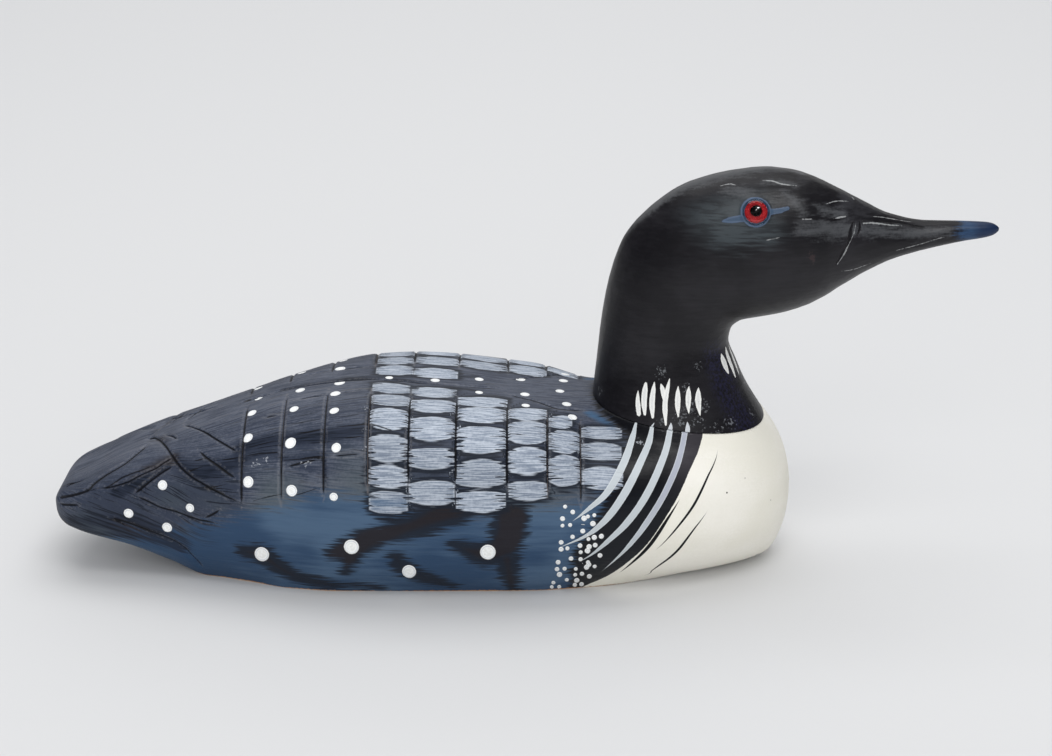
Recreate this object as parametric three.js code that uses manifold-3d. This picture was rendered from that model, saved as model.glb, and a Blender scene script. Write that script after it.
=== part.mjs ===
// A loon decoy at rest: a carved body, a carved head glued on its shoulders and two glass eyes.
// Millimetres, +X toward the bill, +Z up, +Y toward the bird's left. The origin is on the resting
// face, midway between the end of the tail and the tip of the bill.
import * as THREE from "three";
import { mergeVertices } from "three/addons/utils/BufferGeometryUtils.js";
import Module from "manifold-3d";

// Driving dimensions
const overallLength = 380; // end of the tail to the tip of the bill
const bodyLength = 300; // end of the tail to the front of the breast
const bodyWidth = 108; // across the folded wings
const bodyHeight = 77; // resting face to the highest point of the back
const neckSeatStart = 219; // end of the tail to the back of the seat on the shoulders
const neckSeatLength = 70; // fore and aft
const neckSeatWidth = 66;
const neckSeatHeight = 66.6; // of its middle
const neckSeatTilt = 7.2; // degrees that it falls toward the breast
const shoulderFlare = 5; // how far the shoulder under the seat spreads
const shoulderDrop = 9; // over this height
const headWidth = 45; // across the cheeks
const headRise = 99; // middle of the seat to the crown, nearly
const headReach = overallLength - neckSeatStart; // back of the seat to the tip of the bill
const eyeDiameter = 10;
const eyeProud = 2; // how far the dome stands out of the head
const eyeRim = 0.4; // how far the edge of the dome does
const eyeDepth = 4; // of the shank in its socket
const eyeAlong = 0.496; // place along the stations of the head
const eyeDown = 0.29; // place from the crown down to the chin
const glueGap = 0.3; // between the head and its seat, and round each eye
const cutDepth = 1.3; // of the carved lines
const cutWidth = 1.4; // from the bottom of a carved line to its edge

// Carved lines on the body, as places along it and round its girth
const spineLine = [[0.247, 0], [0.43, 0], [0.61, 0]];
const featherRows = [0.262, 0.316, 0.373, 0.432, 0.485, 0.547, 0.614, 0.667, 0.711]; // along the body
const rowStart = 0.04; // how far down from the spine a row of feathers starts
const rowEnd = 0.93; // and ends
const mantleStart = 0.6; // where the mantle begins to part the wings
const mantleSpread = 2.3; // how fast it parts them
const featherLines = [
  [[0.61, 0.01], [0.651, 0.05], [0.685, 0.14], [0.722, 0.19]],
  [[0.28, 0.23], [0.312, 0.245]],
  [[0.323, 0.125], [0.376, 0.095]],
  [[0.38, 0.085], [0.431, 0.044]],
  [[0.32, 0.677], [0.373, 0.656]],
  [[0.38, 0.65], [0.43, 0.67]],
  [[0.171, 0.03], [0.207, 0.211], [0.257, 0.508]],
  [[0.198, 0.378], [0.226, 0.578], [0.258, 0.726]],
  [[0.011, 0.35], [0.044, 0.199]],
  [[0.006, 0.985], [0.045, 0.907]],
  [[0.206, 0.99], [0.236, 0.923]],
];
// Edges of raised feathers. The wide flank of the cut lies on the side of what the feather overlaps,
// which is to the right of the line as it is walked on the right half of the body.
const raisedEdges = [
  [[0.131, 0.02], [0.156, 0.224], [0.18, 0.572], [0.213, 0.758], [0.265, 0.896]],
  [[0.01, 0.7], [0.05, 0.498], [0.09, 0.201], [0.127, 0.03]],
  [[0.056, 0.502], [0.092, 0.6], [0.133, 0.525], [0.166, 0.422]],
  [[0.172, 0.518], [0.137, 0.671], [0.112, 0.842]],
  [[0.115, 0.844], [0.17, 0.975], [0.232, 1.027]],
  [[0.078, 1.06], [0.141, 1.24], [0.187, 1.42], [0.203, 1.69]],
];
const steepFlank = 0.5; // width of the steep flank of a raised edge
const wideFlank = 4.2; // and of its wide one
const endFade = 0.2; // depth of a carved line at its ends, as a share of cutDepth

// Carved lines on the head, as places along its stations and from the crown down
const faceLines = [
  [[0.693, 0.28], [0.669, 0.44], [0.623, 0.61]],
  [[0.629, 0.66], [0.674, 0.67], [0.718, 0.69]],
  [[0.77, 0.6], [0.82, 0.62], [0.865, 0.62]],
];

// How finely the forms are faceted
const backRings = 28; // from the tail to where the bow begins
const bowRings = 9;
const wingSteps = 8; // from the spine to the widest line
const flankSteps = 4; // from there to the base
const headRings = 36;
const headSpread = 1.1; // draws the rings of the head toward the bill tip
const headSteps = 11; // from the crown to the chin
const eyeSides = 20;
const domeSteps = 4;
const cutStep = 9; // between the points of a carved line

const tailEnd = -overallLength / 2;
const halfWidth = bodyWidth / 2;
const radians = Math.PI / 180;

// A smooth curve through the columns of a table of stations. It never overshoots them.
function curveThrough(places, values) {
  const steps = places.slice(1).map((place, i) => place - places[i]);
  const slopes = steps.map((step, i) => (values[i + 1] - values[i]) / step);
  const tangents = values.map((_, i) => {
    if (i === 0) return slopes[0];
    if (i === slopes.length) return slopes[i - 1];
    if (slopes[i - 1] * slopes[i] <= 0) return 0;
    const before = 2 * steps[i] + steps[i - 1];
    const after = steps[i] + 2 * steps[i - 1];
    return (before + after) / (before / slopes[i - 1] + after / slopes[i]);
  });
  return (place) => {
    let i = 0;
    while (i < steps.length - 1 && place > places[i + 1]) i++;
    const t = THREE.MathUtils.clamp((place - places[i]) / steps[i], 0, 1);
    const rest = 1 - t;
    return (
      values[i] * rest * rest * (1 + 2 * t) +
      values[i + 1] * t * t * (3 - 2 * t) +
      steps[i] * (tangents[i] * t * rest * rest - tangents[i + 1] * t * t * rest)
    );
  };
}

function curvesOf(stations, names) {
  const places = stations.map((row) => row[0]);
  const curves = {};
  names.forEach((name, column) => {
    curves[name] = curveThrough(places, stations.map((row) => row[column + 1]));
  });
  return curves;
}

// The body, as shares: place along the body; spine and underside by its height; half width by its
// own half width; height of the widest line by its height; half width of the base by the half
// width there; then how square the back is, and how full and how round the side is below.
const bodyForm = curvesOf(
  [
    [0.0, 0.445, 0.285, 0.4, 0.385, 0.8, 3.6, 3.0, 2.6],
    [0.05, 0.525, 0.24, 0.54, 0.385, 0.8, 3.6, 3.0, 2.6],
    [0.075, 0.577, 0.21, 0.555, 0.3825, 0.78, 3.5, 2.9, 2.4],
    [0.1, 0.624, 0.18, 0.57, 0.38, 0.76, 3.4, 2.8, 2.2],
    [0.155, 0.717, 0.09, 0.62, 0.38, 0.72, 3.0, 2.5, 1.5],
    [0.21, 0.796, 0.0, 0.71, 0.39, 0.66, 2.6, 2.2, 1.0],
    [0.26, 0.868, 0.0, 0.8, 0.41, 0.7, 2.4, 2.1, 1.0],
    [0.32, 0.94, 0.0, 0.89, 0.44, 0.77, 2.5, 2.0, 1.0],
    [0.37, 0.977, 0.0, 0.95, 0.455, 0.77, 2.9, 2.0, 1.0],
    [0.43, 1.0, 0.0, 0.985, 0.47, 0.75, 3.6, 2.0, 1.0],
    [0.52, 0.983, 0.0, 1.0, 0.48, 0.74, 4.4, 2.0, 1.0],
    [0.64, 0.94, 0.0, 0.995, 0.48, 0.735, 3.8, 2.0, 1.0],
    [0.73, 0.915, 0.0, 0.96, 0.46, 0.69, 2.25, 2.0, 1.0],
    [0.8, 0.9, 0.0, 0.93, 0.44, 0.6, 2.5, 2.0, 1.15],
    [0.9, 0.885, 0.0, 0.92, 0.42, 0.45, 2.5, 2.0, 1.7],
    [1.0, 0.88, 0.0, 0.92, 0.4, 0.3, 2.0, 2.0, 2.0],
  ],
  ["spine", "underside", "width", "widest", "base", "square", "full", "round"],
);
const bowWidthStart = 0.765; // where the sides begin to close, along the body
const bowTopStart = 0.917; // where the breast begins to fall
const keelEnd = 0.955; // the front end of the flat base
const bowHeight = 0.4; // of the foremost point, by the height of the body
const tailRound = 7; // radius of the corners of the tail, seen from above
const tailEdge = 3.5; // how far its upper and lower edges are rounded
const tailSkew = 0.055; // the end of the tail is cut askew, the left corner further forward
const skewEnd = 0.2; // where the skew has died out, along the body

// A half-round closing, from 1 where it starts to 0 at the end.
function closing(way) {
  return Math.sqrt(1 - THREE.MathUtils.clamp(way, 0, 1) ** 2);
}

// A point on the body. Girth is 0 on the spine, 1 on the widest line and 2 at the edge of the base.
function bodyPoint(along, girth, side) {
  const form = {};
  for (const name in bodyForm) form[name] = bodyForm[name](along);
  const breast = closing((along - bowTopStart) / (1 - bowTopStart));
  const bow = closing((along - bowWidthStart) / (1 - bowWidthStart));
  const keel = along < keelEnd ? closing((along - bowWidthStart) / (keelEnd - bowWidthStart)) : 0;
  const lift = 1 - closing((along - keelEnd) / (1 - keelEnd));
  const rounding = 1 - closing(1 - (along * bodyLength) / tailRound);
  const front = bowHeight * bodyHeight;
  const top = THREE.MathUtils.lerp(front, form.spine * bodyHeight, breast) - rounding * tailEdge;
  const bottom = Math.max(form.underside * bodyHeight, front * lift) + rounding * tailEdge;
  const middle = THREE.MathUtils.lerp(front, form.widest * bodyHeight, breast);
  const half = form.width * halfWidth * bow - rounding * tailRound;
  const base = form.width * halfWidth * bow * form.base * keel - rounding * tailRound;
  let y;
  let z;
  if (girth <= 1) {
    const turn = (girth * Math.PI) / 2;
    y = half * Math.max(0, Math.sin(turn)) ** (2 / form.square);
    z = middle + (top - middle) * Math.max(0, Math.cos(turn)) ** (2 / form.square);
  } else {
    const drop = Math.sin(((girth - 1) * Math.PI) / 2);
    y = base + (half - base) * Math.max(0, 1 - drop ** form.full) ** (1 / form.round);
    z = middle + (bottom - middle) * drop;
  }
  const fade = Math.max(0, 1 - along / skewEnd) ** 2;
  const skew = tailSkew * fade * (side * y + halfWidth * bodyForm.width(0) - tailRound);
  return new THREE.Vector3(tailEnd + along * bodyLength + skew, side * y, z);
}

// The neck stands on a flat seat that falls toward the breast.
const seatBack = tailEnd + neckSeatStart;
const seatReach = neckSeatLength * Math.cos(neckSeatTilt * radians);
const seatFall = neckSeatLength * Math.sin(neckSeatTilt * radians);
const seatMiddle = new THREE.Vector3(seatBack + seatReach / 2, 0, neckSeatHeight);

// The head, by its stations from the seat to the bill tip: place of the upper outline and of the
// lower outline as shares of its reach and rise, half width by the half width of the head, then
// where the widest line lies between the outlines and how square each half is.
const seatShare = seatFall / 2 / headRise;
const headForm = curvesOf(
  [
    [0.0, 0.0, seatShare, seatReach / headReach, -seatShare, neckSeatWidth / headWidth, 0.5, 2.2, 2.2],
    [0.035, 0.0025, 0.11, 0.383, 0.092, 1.22, 0.5, 2.1, 2.1],
    [0.07, 0.007, 0.18, 0.362, 0.171, 1.07, 0.5, 2.0, 2.0],
    [0.14, 0.016, 0.331, 0.338, 0.275, 0.955, 0.5, 2.0, 2.0],
    [0.21, 0.032, 0.502, 0.344, 0.331, 0.93, 0.5, 2.0, 2.0],
    [0.28, 0.068, 0.694, 0.371, 0.369, 0.945, 0.5, 2.0, 2.0],
    [0.35, 0.137, 0.834, 0.416, 0.382, 0.975, 0.52, 2.0, 2.0],
    [0.42, 0.233, 0.938, 0.4705, 0.399, 1.0, 0.54, 2.0, 2.0],
    [0.5, 0.356, 0.99, 0.53, 0.431, 0.99, 0.54, 1.95, 2.0],
    [0.54, 0.4175, 1.0, 0.555, 0.4535, 0.956, 0.54, 1.93, 2.05],
    [0.58, 0.479, 0.99, 0.579, 0.477, 0.91, 0.54, 1.9, 2.1],
    [0.62, 0.53, 0.966, 0.605, 0.506, 0.812, 0.54, 1.9, 2.1],
    [0.65, 0.578, 0.93, 0.625, 0.526, 0.73, 0.54, 1.9, 2.1],
    [0.71, 0.659, 0.862, 0.676, 0.575, 0.55, 0.54, 1.9, 2.1],
    [0.77, 0.729, 0.807, 0.739, 0.622, 0.4, 0.53, 1.9, 2.0],
    [0.84, 0.816, 0.779, 0.8225, 0.662, 0.27, 0.52, 1.9, 2.0],
    [0.91, 0.9075, 0.776, 0.9106, 0.694, 0.19, 0.5, 2.0, 2.0],
    [0.965, 0.965, 0.772, 0.967, 0.71, 0.145, 0.5, 2.0, 2.0],
    [1.0, 1.0, 0.76, 1.0, 0.727, 0.08, 0.5, 2.0, 2.0],
  ],
  ["upperX", "upperZ", "lowerX", "lowerZ", "width", "widest", "squareUpper", "squareLower"],
);
const billRound = 0.02; // share of the stations over which the tip closes

// A point on the head. Down is 0 on the crown and 1 on the chin or throat.
function headPoint(along, down, side) {
  const form = {};
  for (const name in headForm) form[name] = headForm[name](along);
  const close = closing((along - 1 + billRound) / billRound);
  const upper = new THREE.Vector3(form.upperX * headReach, 0, form.upperZ * headRise);
  const lower = new THREE.Vector3(form.lowerX * headReach, 0, form.lowerZ * headRise);
  const middle = upper.clone().lerp(lower, form.widest);
  const turn = down * Math.PI;
  const isUpper = turn < Math.PI / 2;
  const power = 2 / (isUpper ? form.squareUpper : form.squareLower);
  const point = middle.clone().lerp(isUpper ? upper : lower, Math.abs(Math.cos(turn)) ** power * close);
  point.y = side * (headWidth / 2) * form.width * Math.max(0, Math.sin(turn)) ** power * close;
  return point.add(new THREE.Vector3(seatBack, 0, neckSeatHeight));
}

// A closed skin over rings of points that all have the same number, with a cap at each end.
function skin(rings) {
  const positions = [];
  const triangle = (a, b, c) => {
    const area = b.clone().sub(a).cross(c.clone().sub(a)).length();
    if (area > 1e-6) positions.push(...a, ...b, ...c);
  };
  for (let i = 0; i + 1 < rings.length; i++) {
    rings[i].forEach((corner, j) => {
      const next = (j + 1) % rings[i].length;
      triangle(corner, rings[i + 1][j], rings[i + 1][next]);
      triangle(corner, rings[i + 1][next], rings[i][next]);
    });
  }
  for (const [ring, isLast] of [[rings[0], false], [rings.at(-1), true]]) {
    const middle = ring.reduce((sum, p) => sum.add(p), new THREE.Vector3()).divideScalar(ring.length);
    ring.forEach((corner, j) => {
      const next = ring[(j + 1) % ring.length];
      if (isLast) triangle(middle, next, corner);
      else triangle(middle, corner, next);
    });
  }
  const geometry = new THREE.BufferGeometry();
  geometry.setAttribute("position", new THREE.Float32BufferAttribute(positions, 3));
  return geometry;
}

const wasm = await Module();
wasm.setup();

function solidOf(geometry) {
  const bare = geometry.clone();
  bare.deleteAttribute("normal");
  bare.deleteAttribute("uv");
  const merged = mergeVertices(bare, 1e-4);
  const triVerts = [];
  for (let i = 0; i < merged.index.count; i += 3) {
    const [a, b, c] = merged.index.array.slice(i, i + 3);
    if (a !== b && b !== c && c !== a) triVerts.push(a, b, c);
  }
  const vertProperties = merged.attributes.position.array;
  const mesh = new wasm.Mesh({ numProp: 3, vertProperties, triVerts: new Uint32Array(triVerts) });
  return new wasm.Manifold(mesh);
}

// The solid inside a skin. Rings given the wrong way round are turned first.
function loftOf(rings) {
  const solid = solidOf(skin(rings));
  return solid.volume() > 0 ? solid : solidOf(skin([...rings].reverse()));
}

function geometryOf(solid) {
  const { vertProperties, triVerts } = solid.getMesh();
  const geometry = new THREE.BufferGeometry();
  geometry.setAttribute("position", new THREE.Float32BufferAttribute(vertProperties, 3));
  geometry.setIndex(Array.from(triVerts));
  geometry.computeVertexNormals();
  return geometry;
}

// The outward normal of a form at a place, from two short steps on it.
function normalOn(form, along, round, side) {
  const step = 0.004;
  const ahead = form(along + step, round, side).sub(form(along - step, round, side));
  const up = form(along, Math.max(0, round - step), side).sub(form(along, round + step, side));
  return ahead.cross(up).multiplyScalar(-side).normalize();
}

// The V-shaped blade of one carved line. It follows the form through the given places, is as deep
// as cutDepth and fades out at both ends. One flank of the V can be wider than the other.
function blade(form, places, side, upperWidth = cutWidth, lowerWidth = cutWidth) {
  const line = new THREE.SplineCurve(places.map(([along, round]) => new THREE.Vector2(along, round)));
  const onForm = (count) => line.getPoints(count).map((place) => form(place.x, place.y, side));
  const rough = onForm(places.length * 4);
  const length = rough.slice(1).reduce((sum, point, i) => sum + point.distanceTo(rough[i]), 0);
  const count = Math.max(2, Math.ceil(length / cutStep));
  const spots = onForm(count);
  const rings = line.getPoints(count).map((place, i) => {
    const out = normalOn(form, place.x, place.y, side);
    const way = spots[Math.min(i + 1, count)].clone().sub(spots[Math.max(i - 1, 0)]).normalize();
    const across = way.cross(out).multiplyScalar(side);
    const fade = i === 0 || i === count ? endFade : 1;
    const bottom = spots[i].clone().addScaledVector(out, -cutDepth * fade);
    const edge = (reach) => spots[i].clone().addScaledVector(out, cutDepth).addScaledVector(across, reach);
    return [edge(2 * upperWidth), bottom, edge(-2 * lowerWidth)];
  });
  return loftOf(rings);
}

// Places round the body: evenly from the spine to the widest line, and from there to the base.
function bodyRing(along) {
  const half = (side) => {
    const points = [];
    for (let i = 0; i <= wingSteps; i++) points.push(bodyPoint(along, i / wingSteps, side));
    for (let i = 1; i <= flankSteps; i++) points.push(bodyPoint(along, 1 + i / flankSteps, side));
    return points;
  };
  return [...half(-1), ...half(1).reverse().slice(0, -1)];
}

function bodyLoft() {
  const corner = tailRound / bodyLength;
  const stations = [0, 0.12, 0.45].map((share) => share * corner);
  for (let i = 0; i <= backRings; i++) stations.push(corner + ((bowWidthStart - corner) * i) / backRings);
  for (let i = 1; i <= bowRings; i++) {
    stations.push(bowWidthStart + (1 - bowWidthStart) * Math.sin((i / bowRings) * (Math.PI / 2)));
  }
  return loftOf(stations.map(bodyRing));
}

// The outline of the neck's foot, grown outward by a margin and moved along the seat's normal.
const seatNormal = new THREE.Vector3(Math.sin(neckSeatTilt * radians), 0, Math.cos(neckSeatTilt * radians));
function seatRing(margin, lift) {
  const half = (side) => {
    const points = [];
    for (let i = 0; i <= headSteps; i++) points.push(headPoint(0, i / headSteps, side));
    return points;
  };
  return [...half(-1), ...half(1).reverse().slice(1, -1)].map((point) => {
    const out = point.clone().sub(seatMiddle).normalize();
    return point.addScaledVector(out, margin).addScaledVector(seatNormal, lift);
  });
}

// The body: the seat stands on a low shoulder, and everything above it is cleared for the neck.
function carvedBody() {
  const shoulder = loftOf([seatRing(shoulderFlare, -shoulderDrop), seatRing(0, -glueGap)]);
  const clearing = loftOf([seatRing(glueGap, -glueGap), seatRing(glueGap, headRise / 2)]);
  let solid = bodyLoft().add(shoulder).subtract(clearing);
  solid = solid.subtract(blade(bodyPoint, spineLine, -1));
  for (const side of [-1, 1]) {
    for (const along of featherRows) {
      const start = Math.max(rowStart, (along - mantleStart) * mantleSpread);
      const places = [start, (start + rowEnd) / 2, rowEnd].map((girth) => [along, girth]);
      solid = solid.subtract(blade(bodyPoint, places, side));
    }
    for (const places of featherLines) solid = solid.subtract(blade(bodyPoint, places, side));
    for (const places of raisedEdges) {
      solid = solid.subtract(blade(bodyPoint, places, side, steepFlank, wideFlank));
    }
  }
  return solid;
}

function carvedHead() {
  const rings = [];
  for (let i = 0; i <= headRings; i++) {
    const along = Math.sin((i / headRings) * (Math.PI / 2)) ** headSpread;
    const half = (side) => {
      const points = [];
      for (let j = 0; j <= headSteps; j++) points.push(headPoint(along, j / headSteps, side));
      return points;
    };
    rings.push([...half(-1), ...half(1).reverse().slice(1, -1)]);
  }
  let solid = loftOf(rings);
  for (const side of [-1, 1]) {
    for (const places of faceLines) solid = solid.subtract(blade(headPoint, places, side));
    const bore = eyeDiameter / 2 + glueGap;
    const socket = new THREE.CylinderGeometry(bore, bore, 3 * eyeDepth, eyeSides);
    socket.translate(0, eyeDepth / 2 - glueGap, 0);
    socket.applyQuaternion(eyeTurn(side)).translate(...headPoint(eyeAlong, eyeDown, side));
    solid = solid.subtract(solidOf(socket));
  }
  return solid;
}

function eyeTurn(side) {
  const out = normalOn(headPoint, eyeAlong, eyeDown, side);
  return new THREE.Quaternion().setFromUnitVectors(new THREE.Vector3(0, 1, 0), out);
}

// A glass eye about its own Y axis: a straight shank in the socket under a shallow dome.
function eyeGeometry() {
  const radius = eyeDiameter / 2;
  const rise = eyeProud - eyeRim;
  const domeRadius = (radius ** 2 + rise ** 2) / (2 * rise);
  const spread = Math.asin(radius / domeRadius);
  const profile = [new THREE.Vector2(0, -eyeDepth), new THREE.Vector2(radius, -eyeDepth)];
  for (let i = 0; i <= domeSteps; i++) {
    const angle = spread * (1 - i / domeSteps);
    const height = eyeProud - domeRadius * (1 - Math.cos(angle));
    profile.push(new THREE.Vector2(domeRadius * Math.sin(angle), height));
  }
  return new THREE.LatheGeometry(profile, eyeSides);
}

function finish(color, roughness, opacity = 1) {
  const transparent = opacity < 1;
  return new THREE.MeshStandardMaterial({ color, roughness, metalness: 0, opacity, transparent });
}

function named(name, geometry, material) {
  const mesh = new THREE.Mesh(geometry, material);
  mesh.name = name;
  return mesh;
}

const decoy = new THREE.Group();
decoy.add(named("body", geometryOf(carvedBody()), finish("#2c4257", 0.5)));
decoy.add(named("head", geometryOf(carvedHead()), finish("#17181b", 0.35)));
for (const [name, side] of [["eye_left", 1], ["eye_right", -1]]) {
  const eye = named(name, eyeGeometry(), finish("#a8222a", 0.05, 0.5));
  eye.position.copy(headPoint(eyeAlong, eyeDown, side));
  eye.quaternion.copy(eyeTurn(side));
  decoy.add(eye);
}

export default decoy;
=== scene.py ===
# A painted loon decoy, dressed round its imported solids. Forms are worked out in millimetres and
# meshes are made in metres. +X runs toward the bill, +Y toward the bird's left, +Z up.
import math

import bpy
import numpy as np
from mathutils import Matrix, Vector


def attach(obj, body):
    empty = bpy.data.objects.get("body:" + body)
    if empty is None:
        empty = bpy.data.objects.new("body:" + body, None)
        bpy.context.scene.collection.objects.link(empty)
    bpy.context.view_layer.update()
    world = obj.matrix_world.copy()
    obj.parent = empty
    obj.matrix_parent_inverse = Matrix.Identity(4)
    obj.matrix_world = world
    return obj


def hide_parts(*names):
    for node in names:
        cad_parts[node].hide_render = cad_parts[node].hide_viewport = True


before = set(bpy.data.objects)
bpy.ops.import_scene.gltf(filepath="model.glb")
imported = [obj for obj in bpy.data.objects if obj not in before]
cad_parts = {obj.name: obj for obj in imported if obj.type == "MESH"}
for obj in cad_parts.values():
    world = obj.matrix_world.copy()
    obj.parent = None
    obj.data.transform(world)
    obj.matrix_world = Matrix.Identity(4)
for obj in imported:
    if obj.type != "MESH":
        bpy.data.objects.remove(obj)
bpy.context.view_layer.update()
print("frame loaded:", ", ".join(sorted(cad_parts)))

metre = 0.001  # one millimetre
near, far = -1, 1  # the right half, which the camera sees, and the left half

cameraSettings = {
    "elevation": 21,  # degrees that it looks down
    "distance": 1.1,
    "target": (0.0016, 0, 0.0766),
    "focalPixels": 2706,  # focal length in pixels of the 1052-pixel image
    "imageWidth": 1052,
}


def makeCamera(settings):
    data = bpy.data.cameras.new("camera")
    data.sensor_width = 36
    data.lens = data.sensor_width * settings["focalPixels"] / settings["imageWidth"]
    camera = bpy.data.objects.new("camera", data)
    bpy.context.scene.collection.objects.link(camera)
    tilt = math.radians(settings["elevation"])
    back = Vector((0, -math.cos(tilt), math.sin(tilt)))
    camera.location = Vector(settings["target"]) + back * settings["distance"]
    camera.rotation_euler = (math.pi / 2 - tilt, 0, 0)
    bpy.context.scene.camera = camera


makeCamera(cameraSettings)
bpy.context.scene.view_settings.view_transform = "Standard"

# Numbers on curves


def curveThrough(places, values):
    # a smooth curve through the columns of a table: cubic pieces whose slopes never overshoot
    places, values = np.asarray(places, float), np.asarray(values, float)
    steps = np.diff(places)
    slopes = np.diff(values) / steps
    before = 2 * steps[1:] + steps[:-1]
    after = steps[1:] + 2 * steps[:-1]
    same = slopes[:-1] * slopes[1:] > 0
    low = np.where(same, slopes[:-1], 1)
    high = np.where(same, slopes[1:], 1)
    inner = np.where(same, (before + after) / (before / low + after / high), 0)
    tangents = np.concatenate([[slopes[0]], inner, [slopes[-1]]])

    def curve(place):
        i = np.clip(np.searchsorted(places, place) - 1, 0, len(steps) - 1)
        t = np.clip((place - places[i]) / steps[i], 0, 1)
        rest = 1 - t
        ends = values[i] * rest**2 * (1 + 2 * t) + values[i + 1] * t**2 * (3 - 2 * t)
        return ends + steps[i] * t * rest * (tangents[i] * rest - tangents[i + 1] * t)

    return curve


def curvesOf(stations, names):
    table = np.array(stations)
    return {name: curveThrough(table[:, 0], table[:, k + 1]) for k, name in enumerate(names)}


def closing(way):
    # a quarter circle that falls from 1 to 0
    return np.sqrt(1 - np.clip(way, 0, 1) ** 2)


def smoothStep(value, low, high):
    t = np.clip((value - low) / (high - low), 0, 1)
    return t * t * (3 - 2 * t)


def smoothMax(a, b, reach):
    # the larger of two numbers, with the corner between them rounded over `reach`
    return (a + b + np.sqrt((a - b) ** 2 + reach**2)) / 2


latticeValues = np.random.default_rng(7).random(4096)
latticeSteps = np.array([73856093, 19349663, 83492791])  # spread a corner's number over the table


def lumps(points, size, seed):
    # random values on a lattice of the given spacing, blended smoothly between its corners
    place = points / size + seed * 17.3
    cell = np.floor(place).astype(np.int64)
    t = place - cell
    t = t * t * (3 - 2 * t)
    total = np.zeros(len(points))
    for corner in range(8):
        offset = np.array([corner & 1, corner >> 1 & 1, corner >> 2])
        key = (cell + offset) @ latticeSteps
        weight = np.prod(np.where(offset == 1, t, 1 - t), axis=1)
        total += weight * latticeValues[key & 4095]
    return total


# Forms of the body and the head, with the same stations as the solids

bodySettings = {
    "tailEnd": -190,
    "length": 300,
    "halfWidth": 54,
    "height": 77,
    "bowWidthStart": 0.765,  # where the sides begin to close, along the body
    "bowTopStart": 0.917,  # where the breast begins to fall
    "keelEnd": 0.955,  # the front end of the flat base
    "bowHeight": 0.4,  # of the foremost point
    "tailRound": 7,  # corners of the tail, seen from above
    "tailEdge": 3.5,  # its upper and lower edges
    "tailSkew": 0.055,  # the left corner of the tail lies further forward
    "skewEnd": 0.2,
    "rings": 350,  # along the body
    "upperSteps": 98,  # from the spine to the widest line
    "lowerSteps": 56,  # from there to the edge of the base
    "farSteps": 0.68,  # share of these steps on the left half
    "underSteps": 8,  # across the underside
    "rowRings": 0.9,  # how much closer the rings stand at a row of feathers
    "rowSpread": 1.3,  # within so many millimetres of it
    "tailRings": 0.35,  # and over the tail, which takes up this share of the body
    "tailShare": 0.27,
    "lumpDepth": 0.3,  # unevenness left by the spokeshave
    "lumpSize": 17,
    "fineLumpSize": 5,
}
seatSettings = {
    "start": 219,  # from the end of the tail to the back of the seat
    "length": 70,
    "width": 66,
    "height": 66.6,
    "tilt": math.radians(7.2),
    "gap": 0.3,  # below the foot of the neck
    "slope": 1.8,  # how steeply the shoulder falls away from the seat
    "flare": 5,  # how far it spreads before it runs into the body
    "runOut": 3,  # how much steeper it falls from there on
    "round": 1.6,  # radius where it runs out
    "square": 2.2,  # how square its outline is
}

# Place along the body; spine, underside, half width and height of the widest line as shares;
# half width of the base; how square the back is; how full and how round the side is below.
bodyCurves = curvesOf(
    [
        [0.0, 0.445, 0.285, 0.4, 0.385, 0.8, 3.6, 3.0, 2.6],
        [0.05, 0.525, 0.24, 0.54, 0.385, 0.8, 3.6, 3.0, 2.6],
        [0.075, 0.577, 0.21, 0.555, 0.3825, 0.78, 3.5, 2.9, 2.4],
        [0.1, 0.624, 0.18, 0.57, 0.38, 0.76, 3.4, 2.8, 2.2],
        [0.155, 0.717, 0.09, 0.62, 0.38, 0.72, 3.0, 2.5, 1.5],
        [0.21, 0.796, 0.0, 0.71, 0.39, 0.66, 2.6, 2.2, 1.0],
        [0.26, 0.868, 0.0, 0.8, 0.41, 0.7, 2.4, 2.1, 1.0],
        [0.32, 0.94, 0.0, 0.89, 0.44, 0.77, 2.5, 2.0, 1.0],
        [0.37, 0.977, 0.0, 0.95, 0.455, 0.77, 2.9, 2.0, 1.0],
        [0.43, 1.0, 0.0, 0.985, 0.47, 0.75, 3.6, 2.0, 1.0],
        [0.52, 0.983, 0.0, 1.0, 0.48, 0.74, 4.4, 2.0, 1.0],
        [0.64, 0.94, 0.0, 0.995, 0.48, 0.735, 3.8, 2.0, 1.0],
        [0.73, 0.915, 0.0, 0.96, 0.46, 0.69, 2.25, 2.0, 1.0],
        [0.8, 0.9, 0.0, 0.93, 0.44, 0.6, 2.5, 2.0, 1.15],
        [0.9, 0.885, 0.0, 0.92, 0.42, 0.45, 2.5, 2.0, 1.7],
        [1.0, 0.88, 0.0, 0.92, 0.4, 0.3, 2.0, 2.0, 2.0],
    ],
    ["spine", "underside", "width", "widest", "base", "square", "full", "round"],
)


def seatHeight(x):
    # height of the seat plane, which falls toward the breast
    middle = bodySettings["tailEnd"] + seatSettings["start"]
    middle += seatSettings["length"] / 2 * math.cos(seatSettings["tilt"])
    return seatSettings["height"] - (x - middle) * math.tan(seatSettings["tilt"])


def outsideSeat(x, y):
    # distance outside the seat's outline, which is a squarish oval, negative inside it
    s = seatSettings
    reach = s["length"] / 2
    middle = bodySettings["tailEnd"] + s["start"] + reach * math.cos(s["tilt"])
    forward = (x - middle) / math.cos(s["tilt"])
    share = np.abs(forward / reach) ** s["square"] + np.abs(y / (s["width"] / 2)) ** s["square"]
    share = np.maximum(share, 1e-6) ** (1 / s["square"])
    return np.hypot(forward, y) * (1 - 1 / share)


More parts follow.
